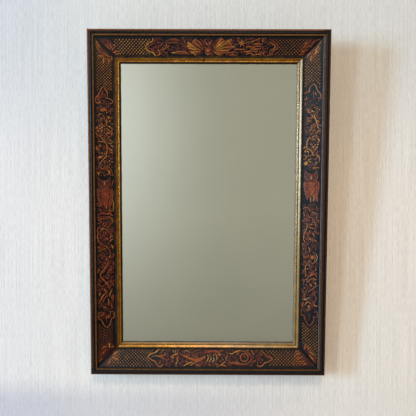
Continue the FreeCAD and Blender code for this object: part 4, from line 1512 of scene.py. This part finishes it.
# %% Wood materials
def wood(name, upright, dark, light, pore, **grain):
    material, shader = new_material(name, IOR=1.5)
    streaks = place_group(grain_group, Upright=upright, **grain)
    grime = place_group(grime_group, Cloud_Scale=14.0, Speck_Scale=900.0, Amount=0.6)
    colour = mix(streaks["Streak"], dark, light)
    colour = mix(streaks["Pore"] * 0.6, colour, pore)
    colour = mix(grime["Mask"] * 0.35, colour, srgb(88, 76, 64))
    link(colour, shader["Base Color"])
    link(streaks["Pore"] * 0.2 + (grime["Mask"] * 0.2 + 0.5), shader["Roughness"])
    height = streaks["Pore"] * -0.8 + streaks["Streak"]
    link(bump(height, 0.0002, 0.5), shader["Normal"])
    return material


CORE_COLOURS = (srgb(58, 40, 28), srgb(104, 74, 48), srgb(30, 20, 15))
core_upright = wood("core wood, upright", 1.0, *CORE_COLOURS)
core_level = wood("core wood, level", 0.0, *CORE_COLOURS)
board_wood = wood("backboard wood", 1.0, srgb(172, 134, 88), srgb(206, 172, 124),
                  srgb(120, 86, 54), Across_Scale=60.0, Along_Scale=2.2)
key_wood = wood("key wood", 0.0, srgb(150, 112, 70), srgb(190, 152, 104), srgb(98, 68, 42),
                Across_Scale=160.0, Along_Scale=12.0)

# %% Metal, paper and felt materials
def metal(name, colours, tarnish, roughness, amount):
    material, shader = new_material(name, IOR=1.5)
    worn = place_group(worn_group, Patch_Scale=220.0, Fleck_Scale=2400.0, Amount=amount,
                       Softness=0.16)
    grime = place_group(grime_group, Cloud_Scale=90.0, Speck_Scale=2600.0, Amount=0.7)
    colour = mix(noise(300.0, 4.0), *colours)
    colour = mix(worn["Mask"] * 0.8, colour, tarnish)
    link(colour, shader["Base Color"])
    link(1 - worn["Mask"] * 0.45, shader["Metallic"])
    link(clamp(grime["Mask"] * 0.3 + (worn["Mask"] * 0.15 + roughness)), shader["Roughness"])
    link(bump(noise(1800.0, 4.0), 0.00005, 0.5), shader["Normal"])
    return material


zinced = metal("zinced steel", (srgb(176, 176, 172), srgb(206, 206, 200)), srgb(120, 112, 100),
               0.34, 0.5)
brass = metal("hanger brass", (srgb(196, 160, 92), srgb(222, 188, 118)), srgb(112, 84, 48),
              0.28, 0.55)

kraft, shader = new_material("liner paper", IOR=1.45)
fibre = noise(900.0, 5.0, 0.7)
link(mix(fibre, srgb(168, 140, 104), srgb(196, 168, 130)), shader["Base Color"])
link(fibre * 0.2 + 0.75, shader["Roughness"])
link(bump(fibre, 0.00008, 0.6), shader["Normal"])

felt, shader = new_material("felt", IOR=1.4, Sheen_Weight=0.5, Sheen_Roughness=0.5)
fibre = noise(1600.0, 6.0, 0.75)
link(mix(fibre, srgb(38, 36, 34), srgb(92, 88, 84)), shader["Base Color"])
link(fibre * 0.1 + 0.88, shader["Roughness"])
link(bump(fibre, 0.0003, 0.9), shader["Normal"])
print("Materials:", len(bpy.data.materials))

# %% [markdown]
# ## Panel meshes
# Each panel becomes one closed sheet: the drawn grid on top, plain walls, and a flat strip
# below. The sheet is a little wavy, as thin metal on a wooden bed is. The relief fades out at
# the border, where the sheet is held under the mouldings.

# %% Panels from the drawn beds
def waves(along, across, seed, lengths):
    """Slow unevenness between 0 and 1, the same on every run."""
    random = np.random.default_rng(seed)
    total = 0.0
    for length in lengths:
        turn, phase = random.uniform(-0.6, 0.6), random.uniform(0, 2 * math.pi)
        total = total + np.sin(2 * math.pi * (along + turn * across) / length + phase)
    return 0.5 + total / (2 * len(lengths))


def panel(side, seed):
    bed = beds[side]
    rows, columns = bed.along.shape
    inset = PANEL_OUTER[0] + bed.share * PANEL_RUN
    level = PANEL_OUTER[1] + bed.share * PANEL_FALL
    ends = (bed.half - (inset - PANEL_OUTER[0]))[None, :] - np.abs(bed.along)
    border = np.minimum(np.minimum(bed.across, PANEL_SLOPE - bed.across)[None, :], ends)
    fade = np.clip(border / BORDER, 0, 1)
    lift = bed.relief * fade + 0.14 * np.clip(border / 7, 0, 1) * waves(
        bed.along, bed.across[None, :], seed, (41, 67, 23))
    normal = np.array([-PANEL_FALL, PANEL_RUN]) / PANEL_SLOPE
    top = site(side, inset[None, :] + normal[0] * lift, level[None, :] + normal[1] * lift,
               bed.along)
    under = [site(side, inset[k], level[k] - SHEET_DROP, bed.along[:, k]) for k in (0, -1)]
    points = np.vstack([top.reshape(-1, 3), *under])
    first = rows * columns
    faces = grid_faces(rows, columns)
    for i in range(rows - 1):
        a, b = first + i, first + rows + i
        faces += [(i * columns, (i + 1) * columns, a + 1, a),
                  ((i + 1) * columns - 1, (i + 2) * columns - 1, b + 1, b), (a, a + 1, b + 1, b)]
    for i in (0, rows - 1):
        faces.append([*range(i * columns, (i + 1) * columns), first + rows + i, first + i])
    thing = make_object(side + "_painted_panel", points, faces, painted, math.radians(50))
    paint = np.zeros((len(points), 4), np.float32)
    edge = np.minimum(bed.across - 0.6, ends)
    paint[:first, 0] = (bed.cover * np.clip(edge / 1.2, 0, 1) * fade).ravel()
    paint[:first, 1] = bed.hue.ravel()
    paint[:first, 2] = np.clip(bed.relief / 0.6, 0, 1).ravel()
    paint[:, 3] = 1
    layer = thing.data.color_attributes.new("Paint", "FLOAT_COLOR", "POINT")
    layer.data.foreach_set("color", paint.ravel())
    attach(thing, "root")
    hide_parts(side + "_tin_panel")
    return thing


panels = {side: panel(side, seed) for seed, side in enumerate(SIDES)}
print("Panel triangles:", {side: 2 * len(thing.data.polygons) for side, thing in panels.items()})

# %% [markdown]
# ## Lattice bosses
# Small domes lie on the crossings of the lattice. On the real sheet a round punch would make
# them. One Geometry Nodes tree puts a flattened ball of few faces on every point, turned to the
# slope of the panel and with a slightly different size each, so one setting changes them all.

# %% Points that carry the bosses
def slope_normal(side):
    run, rise = -PANEL_FALL / PANEL_SLOPE, PANEL_RUN / PANEL_SLOPE
    return (SIDES[side][1][0] * run, -rise, SIDES[side][1][1] * run)


boss_mesh = bpy.data.meshes.new("boss_points")
spots, normals, colours, sizes = [], [], [], []
for side, along, across, hue, size in boss_places:
    share = across / PANEL_SLOPE
    spots.append(site(side, PANEL_OUTER[0] + share * PANEL_RUN,
                      PANEL_OUTER[1] + share * PANEL_FALL + 0.1, along))
    normals.append(slope_normal(side))
    colours.append((1.0, hue, 0.9, 1.0))
    sizes.append(size)
boss_mesh.from_pydata(np.array(spots), [], [])
boss_mesh.attributes.new("tilt", "FLOAT_VECTOR", "POINT").data.foreach_set(
    "vector", np.array(normals, np.float32).ravel())
boss_mesh.color_attributes.new("Paint", "FLOAT_COLOR", "POINT").data.foreach_set(
    "color", np.array(colours, np.float32).ravel())
boss_mesh.attributes.new("size", "FLOAT", "POINT").data.foreach_set("value", sizes)
print("Boss points:", len(spots))

# %% Geometry Nodes tree for the bosses
def geometry_tree(name, inputs):
    global tree
    tree = bpy.data.node_groups.new(name, "GeometryNodeTree")
    tree.interface.new_socket("Geometry", in_out="INPUT", socket_type="NodeSocketGeometry")
    for label, kind in inputs.items():
        tree.interface.new_socket(label, in_out="INPUT", socket_type=kind)
    tree.interface.new_socket("Geometry", in_out="OUTPUT", socket_type="NodeSocketGeometry")
    return node("NodeGroupInput"), tree.nodes.new("NodeGroupOutput").inputs


def on_points(enter, leave, shape, rotation, **scale):
    """Sets a shape on every point, as real geometry with the tree's material."""
    placed = node("GeometryNodeInstanceOnPoints", in_Points=enter["Geometry"], in_Instance=shape,
                  in_Rotation=rotation, **scale)[0]
    real = node("GeometryNodeRealizeInstances", in_0=placed)[0]
    link(node("GeometryNodeSetMaterial", in_Geometry=real, in_Material=enter["Material"])[0],
         leave[0])


def grow(points, values, name):
    """Runs the new tree on a mesh of points with the given inputs and keeps the result."""
    carrier = add_object(name + "_points", points)
    modifier = carrier.modifiers.new("grow", "NODES")
    modifier.node_group = tree
    for item in tree.interface.items_tree:
        if item.in_out == "INPUT" and item.name in values:
            modifier[item.identifier] = values[item.name]
    bpy.context.view_layer.update()
    ready = carrier.evaluated_get(bpy.context.evaluated_depsgraph_get())
    mesh = bpy.data.meshes.new_from_object(ready)
    carrier.modifiers.clear()
    bpy.data.objects.remove(carrier)
    return add_object(name, mesh)


enter, leave = geometry_tree("lattice bosses", {
    "Radius": FLOAT, "Flatness": FLOAT, "Spread": FLOAT, "Seed": "NodeSocketInt",
    "Material": "NodeSocketMaterial"})
ball = node("GeometryNodeMeshUVSphere", in_Segments=7, in_Rings=4,
            in_Radius=enter["Radius"])["Mesh"]
smooth = node("GeometryNodeSetShadeSmooth", in_0=ball)[0]
tilt = node("GeometryNodeInputNamedAttribute", data_type="FLOAT_VECTOR",
            in_Name="tilt")["Attribute"]
turn = node("FunctionNodeAlignRotationToVector", axis="Z", in_Vector=tilt)[0]
size = node("FunctionNodeRandomValue", data_type="FLOAT", in_2=1 - enter["Spread"], in_3=1.0,
            in_Seed=enter["Seed"])[1]
own = node("GeometryNodeInputNamedAttribute", data_type="FLOAT", in_Name="size")["Attribute"]
wide = size * own
scale = node("ShaderNodeCombineXYZ", in_0=wide, in_1=wide, in_2=wide * enter["Flatness"])[0]
on_points(enter, leave, smooth, turn, in_Scale=scale)
bosses = grow(boss_mesh, {"Radius": 0.001, "Flatness": 0.5, "Spread": 0.3, "Seed": 4,
                          "Material": painted}, "lattice_bosses")
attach(bosses, "root")
print("Boss faces:", len(bosses.data.polygons), [a.name for a in bosses.data.attributes][:8])

# %% [markdown]
# ## Mouldings and gilt slips
# A plane cuts a moulding as one long run of one section, so both are made by sweeping a
# section along the side, with the ends cut to the mitre. Hand work leaves slow unevenness of
# about a tenth of a millimetre, which breaks up the highlights. It only goes inwards, so no
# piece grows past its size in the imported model.

# %% Sweeping a section along a side
def arc(start, middle, end, steps):
    """Points of the circle through three points, without the last one."""
    (ax, ay), (bx, by), (cx, cy) = start, middle, end
    d = 2 * (ax * (by - cy) + bx * (cy - ay) + cx * (ay - by))
    ux = ((ax * ax + ay * ay) * (by - cy) + (bx * bx + by * by) * (cy - ay)
          + (cx * cx + cy * cy) * (ay - by)) / d
    uy = ((ax * ax + ay * ay) * (cx - bx) + (bx * bx + by * by) * (ax - cx)
          + (cx * cx + cy * cy) * (bx - ax)) / d
    radius = math.hypot(ax - ux, ay - uy)
    turn = [math.atan2(y - uy, x - ux) for x, y in (start, middle, end)]
    sweep_angle = (turn[2] - turn[0]) % (2 * math.pi)
    if (turn[1] - turn[0]) % (2 * math.pi) > sweep_angle:
        sweep_angle -= 2 * math.pi
    return [(ux + radius * math.cos(turn[0] + sweep_angle * k / steps),
             uy + radius * math.sin(turn[0] + sweep_angle * k / steps)) for k in range(steps)]


def flat(start, end, longest=1.3):
    count = max(1, math.ceil(math.dist(start, end) / longest))
    return [(start[0] + (end[0] - start[0]) * k / count,
             start[1] + (end[1] - start[1]) * k / count) for k in range(count)]


def section_points(table):
    """Points round a section from its corners (inset and height in mm). Each line goes on from
    the last corner: "to" straight to the next one, with the longest step if it isn't the usual
    one, and "arc" through one point to another in so many steps."""
    made, last = [], None
    for kind, *words in read(table):
        corners = numbers(word for word in words if "," in word)
        size = [float(word) for word in words if "," not in word]
        if kind == "arc":
            made += arc(last, *corners, int(*size))
        elif last:
            made += flat(last, *corners, *size)
        last = corners[-1]
    return made


def stations(half):
    """Shares along a side, close together at the mitres."""
    inner = np.linspace(-1, 1, int(2 * half / 2.6))[1:-1]
    close = 1 - np.array([0, 0.3, 0.7, 1.1, 1.6]) / half
    return np.unique(np.concatenate([inner[np.abs(inner) < close[-1] - 0.002], close, -close]))


def sweep(name, side, section, material, visible, seed, unevenness, rounded=False):
    section = np.array(section)
    half = half_length(side)
    share = stations(half)
    along = share[:, None] * (half - section[:, 0])[None, :]
    before, after = np.roll(section, 1, axis=0), np.roll(section, -1, axis=0)
    normal = np.column_stack([(before - after)[:, 1], (after - before)[:, 0]])
    normal = normal / np.linalg.norm(normal, axis=1)[:, None]
    amount = visible(section) * unevenness
    depth = -amount[None, :] * waves(along, section[:, 0][None, :] * 2.5, seed, (19, 47, 90, 31))
    depth = depth * np.clip((half - np.abs(share * half)) / 6, 0, 1)[:, None]
    points = site(side, section[:, 0] + normal[:, 0] * depth, section[:, 1] + normal[:, 1] * depth,
                  along)
    if rounded:
        points = round_corners(points)
    count = len(section)
    faces = grid_faces(len(share), count, closed=True)
    faces += [list(range(count)), list(range((len(share) - 1) * count, len(share) * count))]
    return make_object(name, points, faces, material)


print("Stations on a stile:", len(stations(HALF_HEIGHT)))

# %% Outer mouldings
moulding_section = section_points("""
to 0,27
to 0,34.4
arc 0.469,35.531 1.6,36 5
to 4.6,36
to 4.6,35.3
to 5.05,35.3
arc 7.75,38 10.45,35.3 16
to 10.9,35.3
to 10.9,36
to 14,35.75
to 15.5,34.55 0.8
to 15.5,27
to 0,27 4
""")
for seed, side in enumerate(SIDES):
    thing = sweep(side + "_moulding_run", side, moulding_section, lacquer,
                  lambda s: (s[:, 1] > 34.5).astype(float), 20 + seed, 0.13, rounded=True)
    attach(thing, "root")
    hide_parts(side + "_outer_moulding")
print("Moulding section points:", len(moulding_section))

# %% Gilt slips
slip_section = section_points("""
to 53.5,16.5
to 53.5,20.5
to 55.1,20.5 0.6
to 55.1,19.7
to 55.5,19.7
arc 57,20.9 58.8,20.6 8
to 60,20.05 0.7
to 62.2,18.43 0.7
to 63,18.05
to 63.4,17.6
arc 65.1,18.3 67,16.9 10
to 67.3,15.8
to 68,15.4 0.8
to 68,12
to 62,12 3
to 62,16.5 3
to 53.5,16.5 3
""")
for seed, side in enumerate(SIDES):
    thing = sweep(side + "_slip_run", side, slip_section, gilding,
                  lambda s: ((s[:, 0] > 54) & (s[:, 1] > 16.8)).astype(float),
                  40 + seed, 0.16)
    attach(thing, "root")
    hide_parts(side + "_gilt_slip")
print("Slip section points:", len(slip_section))

# %% [markdown]
# ## Hanger rings
# Each ring is one round wire bent to a D: a straight bar that turns in the barrel, two tight
# bends, and a half-round bow. A circle swept round the closed path gives the smooth wire. It
# leans a little, as it does where it rests on the back of the stile.

# %% Round wire rings
RING_HALF, RING_BEND, RING_SIDE, WIRE_RADIUS, RING_LEAN = 10.5, 2.8, 2.2, 1.25, 2.70
RING_AXIS = (238.0, -2.67, 194.0)
WIRE_SIDES = 20


def wire_path():
    """Closed path of the ring in its own plane (mm): across and up from the bar's middle."""
    bar, top = RING_HALF - RING_BEND, RING_BEND + RING_SIDE
    turns = np.linspace(0, math.pi / 2, 7)[1:]
    path = [(x, 0.0) for x in np.linspace(-bar, bar, 9)]
    path += [(bar + RING_BEND * math.sin(t), RING_BEND - RING_BEND * math.cos(t)) for t in turns]
    path += [(RING_HALF * math.cos(t), top + RING_HALF * math.sin(t))
             for t in np.linspace(0, math.pi, 33)]
    path += [(-bar - RING_BEND * math.cos(t), RING_BEND - RING_BEND * math.sin(t))
             for t in np.concatenate([[0], turns[:-1]])]
    return np.array(path)


def ring(name, x, body):
    path = wire_path()
    ahead = np.roll(path, -1, axis=0) - np.roll(path, 1, axis=0)
    ahead = ahead / np.linalg.norm(ahead, axis=1)[:, None]
    side = np.column_stack([ahead[:, 1], -ahead[:, 0]])
    around = np.linspace(0, 2 * math.pi, WIRE_SIDES, endpoint=False)
    out, up = np.cos(around) * WIRE_RADIUS, np.sin(around) * WIRE_RADIUS
    px = path[:, 0][:, None] + side[:, 0][:, None] * out
    pz = path[:, 1][:, None] + side[:, 1][:, None] * out
    py = np.broadcast_to(up, px.shape)
    lean = math.radians(RING_LEAN)
    turned_y = py * math.cos(lean) - pz * math.sin(lean)
    turned_z = py * math.sin(lean) + pz * math.cos(lean)
    points = np.stack([px + x, turned_y + RING_AXIS[1], turned_z + RING_AXIS[2]], axis=-1) / 1000
    rows, columns = px.shape
    faces = grid_faces(rows, columns, closed=True)
    faces += [((rows - 1) * columns + j, (rows - 1) * columns + (j + 1) % columns,
               (j + 1) % columns, j) for j in range(columns)]
    thing = make_object(name + "_wire_ring", points, faces, brass)
    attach(thing, body)
    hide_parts(name + "_hanger_ring")
    return thing


rings = [ring("left", -RING_AXIS[0], "left_ring"), ring("right", RING_AXIS[0], "right_ring")]

# %% [markdown]
# ## Backboard points
# Fourteen flat pointed plates hold the backboard. They are the same plate at fourteen places,
# so one Geometry Nodes tree sets them out, each a little askew, as they are when driven by hand.

# %% Points that hold the backboard
POINT_EDGE, POINT_TOP, POINT_THICK = 54.5, 3.7, 0.8
POINT_OUTLINE = [(-6, 0), (-1.5, 3.9), (8.6, 3.9), (9, 3.4), (9, -3.4), (8.6, -3.9), (-1.5, -3.9)]
POINT_TURN = {"left": 0.0, "right": math.pi, "top": math.pi / 2, "bottom": -math.pi / 2}
plate = []
for depth, inset in ((0, 0.15), (0.15, 0), (POINT_THICK - 0.15, 0), (POINT_THICK, 0.15)):
    plate += [(x - math.copysign(inset, x), -depth, z - (math.copysign(inset, z) if z else 0))
              for x, z in POINT_OUTLINE]
count = len(POINT_OUTLINE)
faces = grid_faces(4, count, closed=True) + [list(range(count)), list(range(3 * count, 4 * count))]
plate_thing = make_object("point_plate", np.array(plate) / 1000, faces)

places, turns = [], []
for side in SIDES:
    for share in (-0.32, 0.0, 0.32) if side in ("top", "bottom") else (-0.36, -0.12, 0.12, 0.36):
        places.append(site(side, POINT_EDGE, POINT_TOP, share * 2 * half_length(side)))
        turns.append(POINT_TURN[side])
point_mesh = bpy.data.meshes.new("point_places")
point_mesh.from_pydata(np.array(places), [], [])
point_mesh.attributes.new("turn", "FLOAT", "POINT").data.foreach_set("value", turns)

enter, leave = geometry_tree("backboard points", {
    "Shape": "NodeSocketObject", "Askew": FLOAT, "Seed": "NodeSocketInt",
    "Material": "NodeSocketMaterial"})
shape = node("GeometryNodeObjectInfo", in_Object=enter["Shape"])["Geometry"]
turn = node("GeometryNodeInputNamedAttribute", data_type="FLOAT", in_Name="turn")["Attribute"]
slant = node("FunctionNodeRandomValue", data_type="FLOAT", in_2=-1.0, in_3=1.0,
             in_Seed=enter["Seed"])[1]
spin = node("ShaderNodeCombineXYZ", in_1=slant * enter["Askew"] + turn)[0]
on_points(enter, leave, shape, spin)
board_points = grow(point_mesh, {"Shape": plate_thing, "Askew": 0.05, "Seed": 2,
                                 "Material": zinced}, "flat_points")
bpy.data.objects.remove(plate_thing)
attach(board_points, "root")
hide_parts("backboard_points")

# %% [markdown]
# ## Felt bumpers and the plain pieces
# The bumpers are discs punched from thick felt, soft at the rims. The other pieces of the back
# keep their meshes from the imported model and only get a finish.

# %% Bumpers
DISC_SIDES = 40
DISC_PROFILE = [(0.0, 0.0), (0.55, 0.0), (0.86, 0.015), (0.96, 0.06), (1.0, 0.16), (0.985, 0.5),
                (1.0, 0.85), (0.97, 1.0), (0.0, 1.0)]  # shares of the radius and of the depth


def bumper(name, node_name, seed):
    low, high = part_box(node_name)
    centre = ((low.x + high.x) / 2, (low.z + high.z) / 2)
    radius, back, front = (high.x - low.x) / 2, high.y, low.y
    thick = back - front
    around = np.linspace(0, 2 * math.pi, DISC_SIDES, endpoint=False)
    random = np.random.default_rng(seed)
    rough = 1 - random.uniform(0, 0.02, (len(DISC_PROFILE), DISC_SIDES))
    points = [np.array([[centre[0], back, centre[1]]])]
    for row, (reach, depth) in enumerate(DISC_PROFILE[1:-1], 1):
        spread = reach * radius * rough[row]
        points.append(np.column_stack([centre[0] + spread * np.cos(around),
                                       np.full(DISC_SIDES, back - depth * thick),
                                       centre[1] + spread * np.sin(around)]))
    points.append(np.array([[centre[0], front, centre[1]]]))
    circles = len(DISC_PROFILE) - 2
    faces = grid_faces(circles, DISC_SIDES, start=1, closed=True)
    last = 1 + circles * DISC_SIDES
    pairs = [(j, (j + 1) % DISC_SIDES) for j in range(DISC_SIDES)]
    faces += [(0, 1 + j, 1 + k) for j, k in pairs]
    faces += [(last, last - DISC_SIDES + j, last - DISC_SIDES + k) for j, k in pairs]
    thing = make_object(name, np.vstack(points), faces, felt, math.radians(60))
    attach(thing, "root")
    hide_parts(node_name)


bumper("left_felt_disc", "left_bumper", 7)
bumper("right_felt_disc", "right_bumper", 8)

# %% Finishes of the pieces that keep their model meshes
finishes = {
    core_level: ["top_rail", "bottom_rail"], core_upright: ["left_stile", "right_stile"],
    key_wood: ["mitre_keys"], board_wood: ["backboard"], kraft: ["paper_liner"],
    silver: ["mirror_glass"], zinced: ["hanger_screws"],
    brass: ["left_hanger_strap", "right_hanger_strap"]}
for material, names in finishes.items():
    for name in names:
        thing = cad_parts[name]
        thing.data.materials.clear()
        thing.data.materials.append(material)
print("Finished model pieces:", sum(len(names) for names in finishes.values()))

# %% [markdown]
# ## Wall and floor
# The mirror hangs on a pale wall with fine upright ribs. Its shadow in the photograph is much
# wider at the top than below, so the frame leans forwards: the wall runs back from the bumpers
# by about three degrees. The wall shows from the front only and lets light through from behind,
# so that the back of the frame can be looked at too.

# %% Stage
WALL_LEAN, WALL_TOUCH = math.radians(3.4), -0.367
WALL_FOOT, WALL_TOP, WALL_SIDE, FLOOR_FRONT = -1.3, 2.3, 2.4, -3.2


def wall_y(z):
    """Where the wall is at a height (m); it touches the bumpers at WALL_TOUCH."""
    return (z - WALL_TOUCH) * math.tan(WALL_LEAN)


wall_material, shader = new_material("ribbed wall", Roughness=0.85, IOR=1.4)
split = position()


def threads(split, across, along):
    """Threads as a noise stretched along one way; the numbers are threads per metre."""
    point = node("ShaderNodeCombineXYZ", in_0=split[0] * across, in_2=split[2] * along)[0]
    return node("ShaderNodeTexNoise", in_Vector=point, in_Scale=1.0, in_Detail=2.0)["Fac"]


height = (threads(split, 360.0, 460.0) * 0.4 + threads(split, 460.0, 60.0) * 0.45
          + threads(split, 440.0, 4.0) * 0.5)
cloth = mix(smooth_step(height, 0.46, 0.84), srgb(197, 197, 195), srgb(221, 220, 218))
# painted shade on the wall: darker and cooler towards the top, the lower left and the left side
top_shade = smooth_step(split[2], -0.08, 0.5) * 0.16
low_shade = ((1 - smooth_step(split[2], -0.47, -0.4))
             * (0.2 - smooth_step(split[0], -0.1, 0.4) * 0.18))
side_shade = smooth_step(-split[0], 0.2, 0.46) * 0.1
# painted shadow: a darker, cooler band on the wall just below the frame
shadow_band = smooth_step(split[2], -0.425, -0.385) - smooth_step(split[2], -0.36, -0.32)
shadow_band = shadow_band * (smooth_step(split[0], -0.29, -0.24) - smooth_step(split[0], 0.2, 0.27))
# each tone: how much the painted shade above, below and at the side and the painted shadow band
# below the frame darken it
tones = [1 - (top_shade * a + (low_shade * b + (side_shade * c + shadow_band * d))) for a, b, c, d in (
    (1.3, 1.05, 0.95, 0.12), (0.95, 1.0, 0.95, 0.07), (0.65, 0.65, 0.5, 0.0))]
link(shade(cloth, *tones), shader["Base Color"])
link(bump(height, 0.0006, 0.5), shader["Normal"])
seen = Signal(tree.nodes["Principled BSDF"].outputs[0])
behind = node("ShaderNodeNewGeometry")["Backfacing"]
shadow_ray = node("ShaderNodeLightPath")["Is Shadow Ray"]
choice = node("ShaderNodeMixShader", in_0=largest(behind, shadow_ray), in_1=seen,
              in_2=node("ShaderNodeBsdfTransparent")[0])[0]
link(choice, tree.nodes["Material Output"].inputs["Surface"])

floor_material, shader = new_material("pale floor", Roughness=0.7, IOR=1.4)
link(mix(noise(6.0, 5.0), srgb(206, 203, 198), srgb(216, 214, 210)), shader["Base Color"])


def quad(name, corners, material):
    mesh = bpy.data.meshes.new(name)
    mesh.from_pydata(corners, [], [(0, 1, 2, 3)])
    mesh.materials.append(material)
    thing = add_object(name, mesh)
    return thing


wall_foot, wall_top = wall_y(WALL_FOOT), wall_y(WALL_TOP)
wall = quad("wall", [
    (-WALL_SIDE, wall_foot, WALL_FOOT), (WALL_SIDE, wall_foot, WALL_FOOT),
    (WALL_SIDE, wall_top, WALL_TOP), (-WALL_SIDE, wall_top, WALL_TOP)], wall_material)
floor = quad("floor", [
    (-WALL_SIDE, FLOOR_FRONT, WALL_FOOT), (WALL_SIDE, FLOOR_FRONT, WALL_FOOT),
    (WALL_SIDE, wall_foot, WALL_FOOT), (-WALL_SIDE, wall_foot, WALL_FOOT)], floor_material)
floor.visible_glossy = False
print("Wall normal:", [round(c, 3) for c in wall.data.polygons[0].normal])

# %% [markdown]
# ## Light
# The wall to the right of the frame has two shadows of different width, and there is a short
# one below. So there are two cool windows on the left, one more grazing than the other, and a
# warm lamp above. The warm room fills the shadows. What the mirror shows is the room behind the
# photographer: a plain dim wall, lighter on the left. It is given by direction, and only to
# mirror rays.

# %% Lamps
def lamp(name, place, aim, size, power, colour):
    data = bpy.data.lights.new(name, "AREA")
    data.shape, data.size, data.size_y = "RECTANGLE", *size
    data.energy, data.color = power, colour
    thing = add_object(name, data)
    thing.location = place
    back = Matrix.Translation(place).to_translation() - Matrix.Translation(aim).to_translation()
    thing.rotation_mode = "QUATERNION"
    thing.rotation_quaternion = back.to_track_quat("Z", "Y")
    return thing


lamp("window", (-4.7, -2.35, 0.55), (0, 0, -0.3), (0.6, 1.8), 270.0, (0.44, 0.72, 1.0))
lamp("second window", (-2.2, -2.45, 0.45), (0, 0, 0), (0.45, 0.7), 29.0, (0.7, 0.94, 1.0))
lamp("lamp above", (0.1, -1.9, 1.65), (0, 0, 0), (0.5, 0.4), 22.0, (1.0, 0.83, 0.68))
lamp("light behind", (0.5, 1.9, 1.0), (0, 0, 0), (1.8, 1.4), 30.0, (1.0, 0.97, 0.93))

# %% Room light by direction
world = bpy.data.worlds.new("room")
world.use_nodes = True
bpy.context.scene.world = world
tree = world.node_tree
way = node("ShaderNodeSeparateXYZ", in_0=node("ShaderNodeTexCoord")["Generated"])
turned = calc("ARCTAN2", way[0], -way[1]) * (180 / math.pi)
raised = calc("ARCSINE", way[2]) * (180 / math.pi)


def hill(value, centre, width):
    off = (value - centre) / width
    return -(off * off)


glow = calc("EXPONENT", hill(turned, -14.0, 9.6) + hill(raised, 6.5, 17.5))
base = node("ShaderNodeMapRange", in_0=raised, in_1=-19.0, in_2=-4.0, in_3=0.0, in_4=1.0)[0]
dim = mix(base, (0.278, 0.27, 0.209, 1), (0.355, 0.345, 0.268, 1))
lit = mix(glow, (0, 0, 0, 1), (0.335, 0.372, 0.38, 1))
room = mix(1.0, dim, lit, "ADD")
dark_right = smooth_step(turned, 12.0, 25.0) * 0.92
dark_left = smooth_step(-turned, 12.5, 25.0) * 0.82
dark_low = smooth_step(-raised, 18.5, 24.5) * 0.9
room = shade(room, 1 - largest(dark_low, dark_left, dark_right))
rays = node("ShaderNodeLightPath")
direct = largest(rays["Is Glossy Ray"], rays["Is Transmission Ray"])
light = mix(direct, (0.68, 0.472, 0.28, 1), room)
light = mix(rays["Is Camera Ray"], light, (0.78, 0.78, 0.77, 1))
link(light, tree.nodes["Background"].inputs["Color"])
print("World nodes:", len(tree.nodes))

# %% [markdown]
# The view transform is the plain one, so colours come out as written. The finished object
# must stay inside the imported one.

# %% Finish
bpy.context.scene.view_settings.view_transform = "Standard"
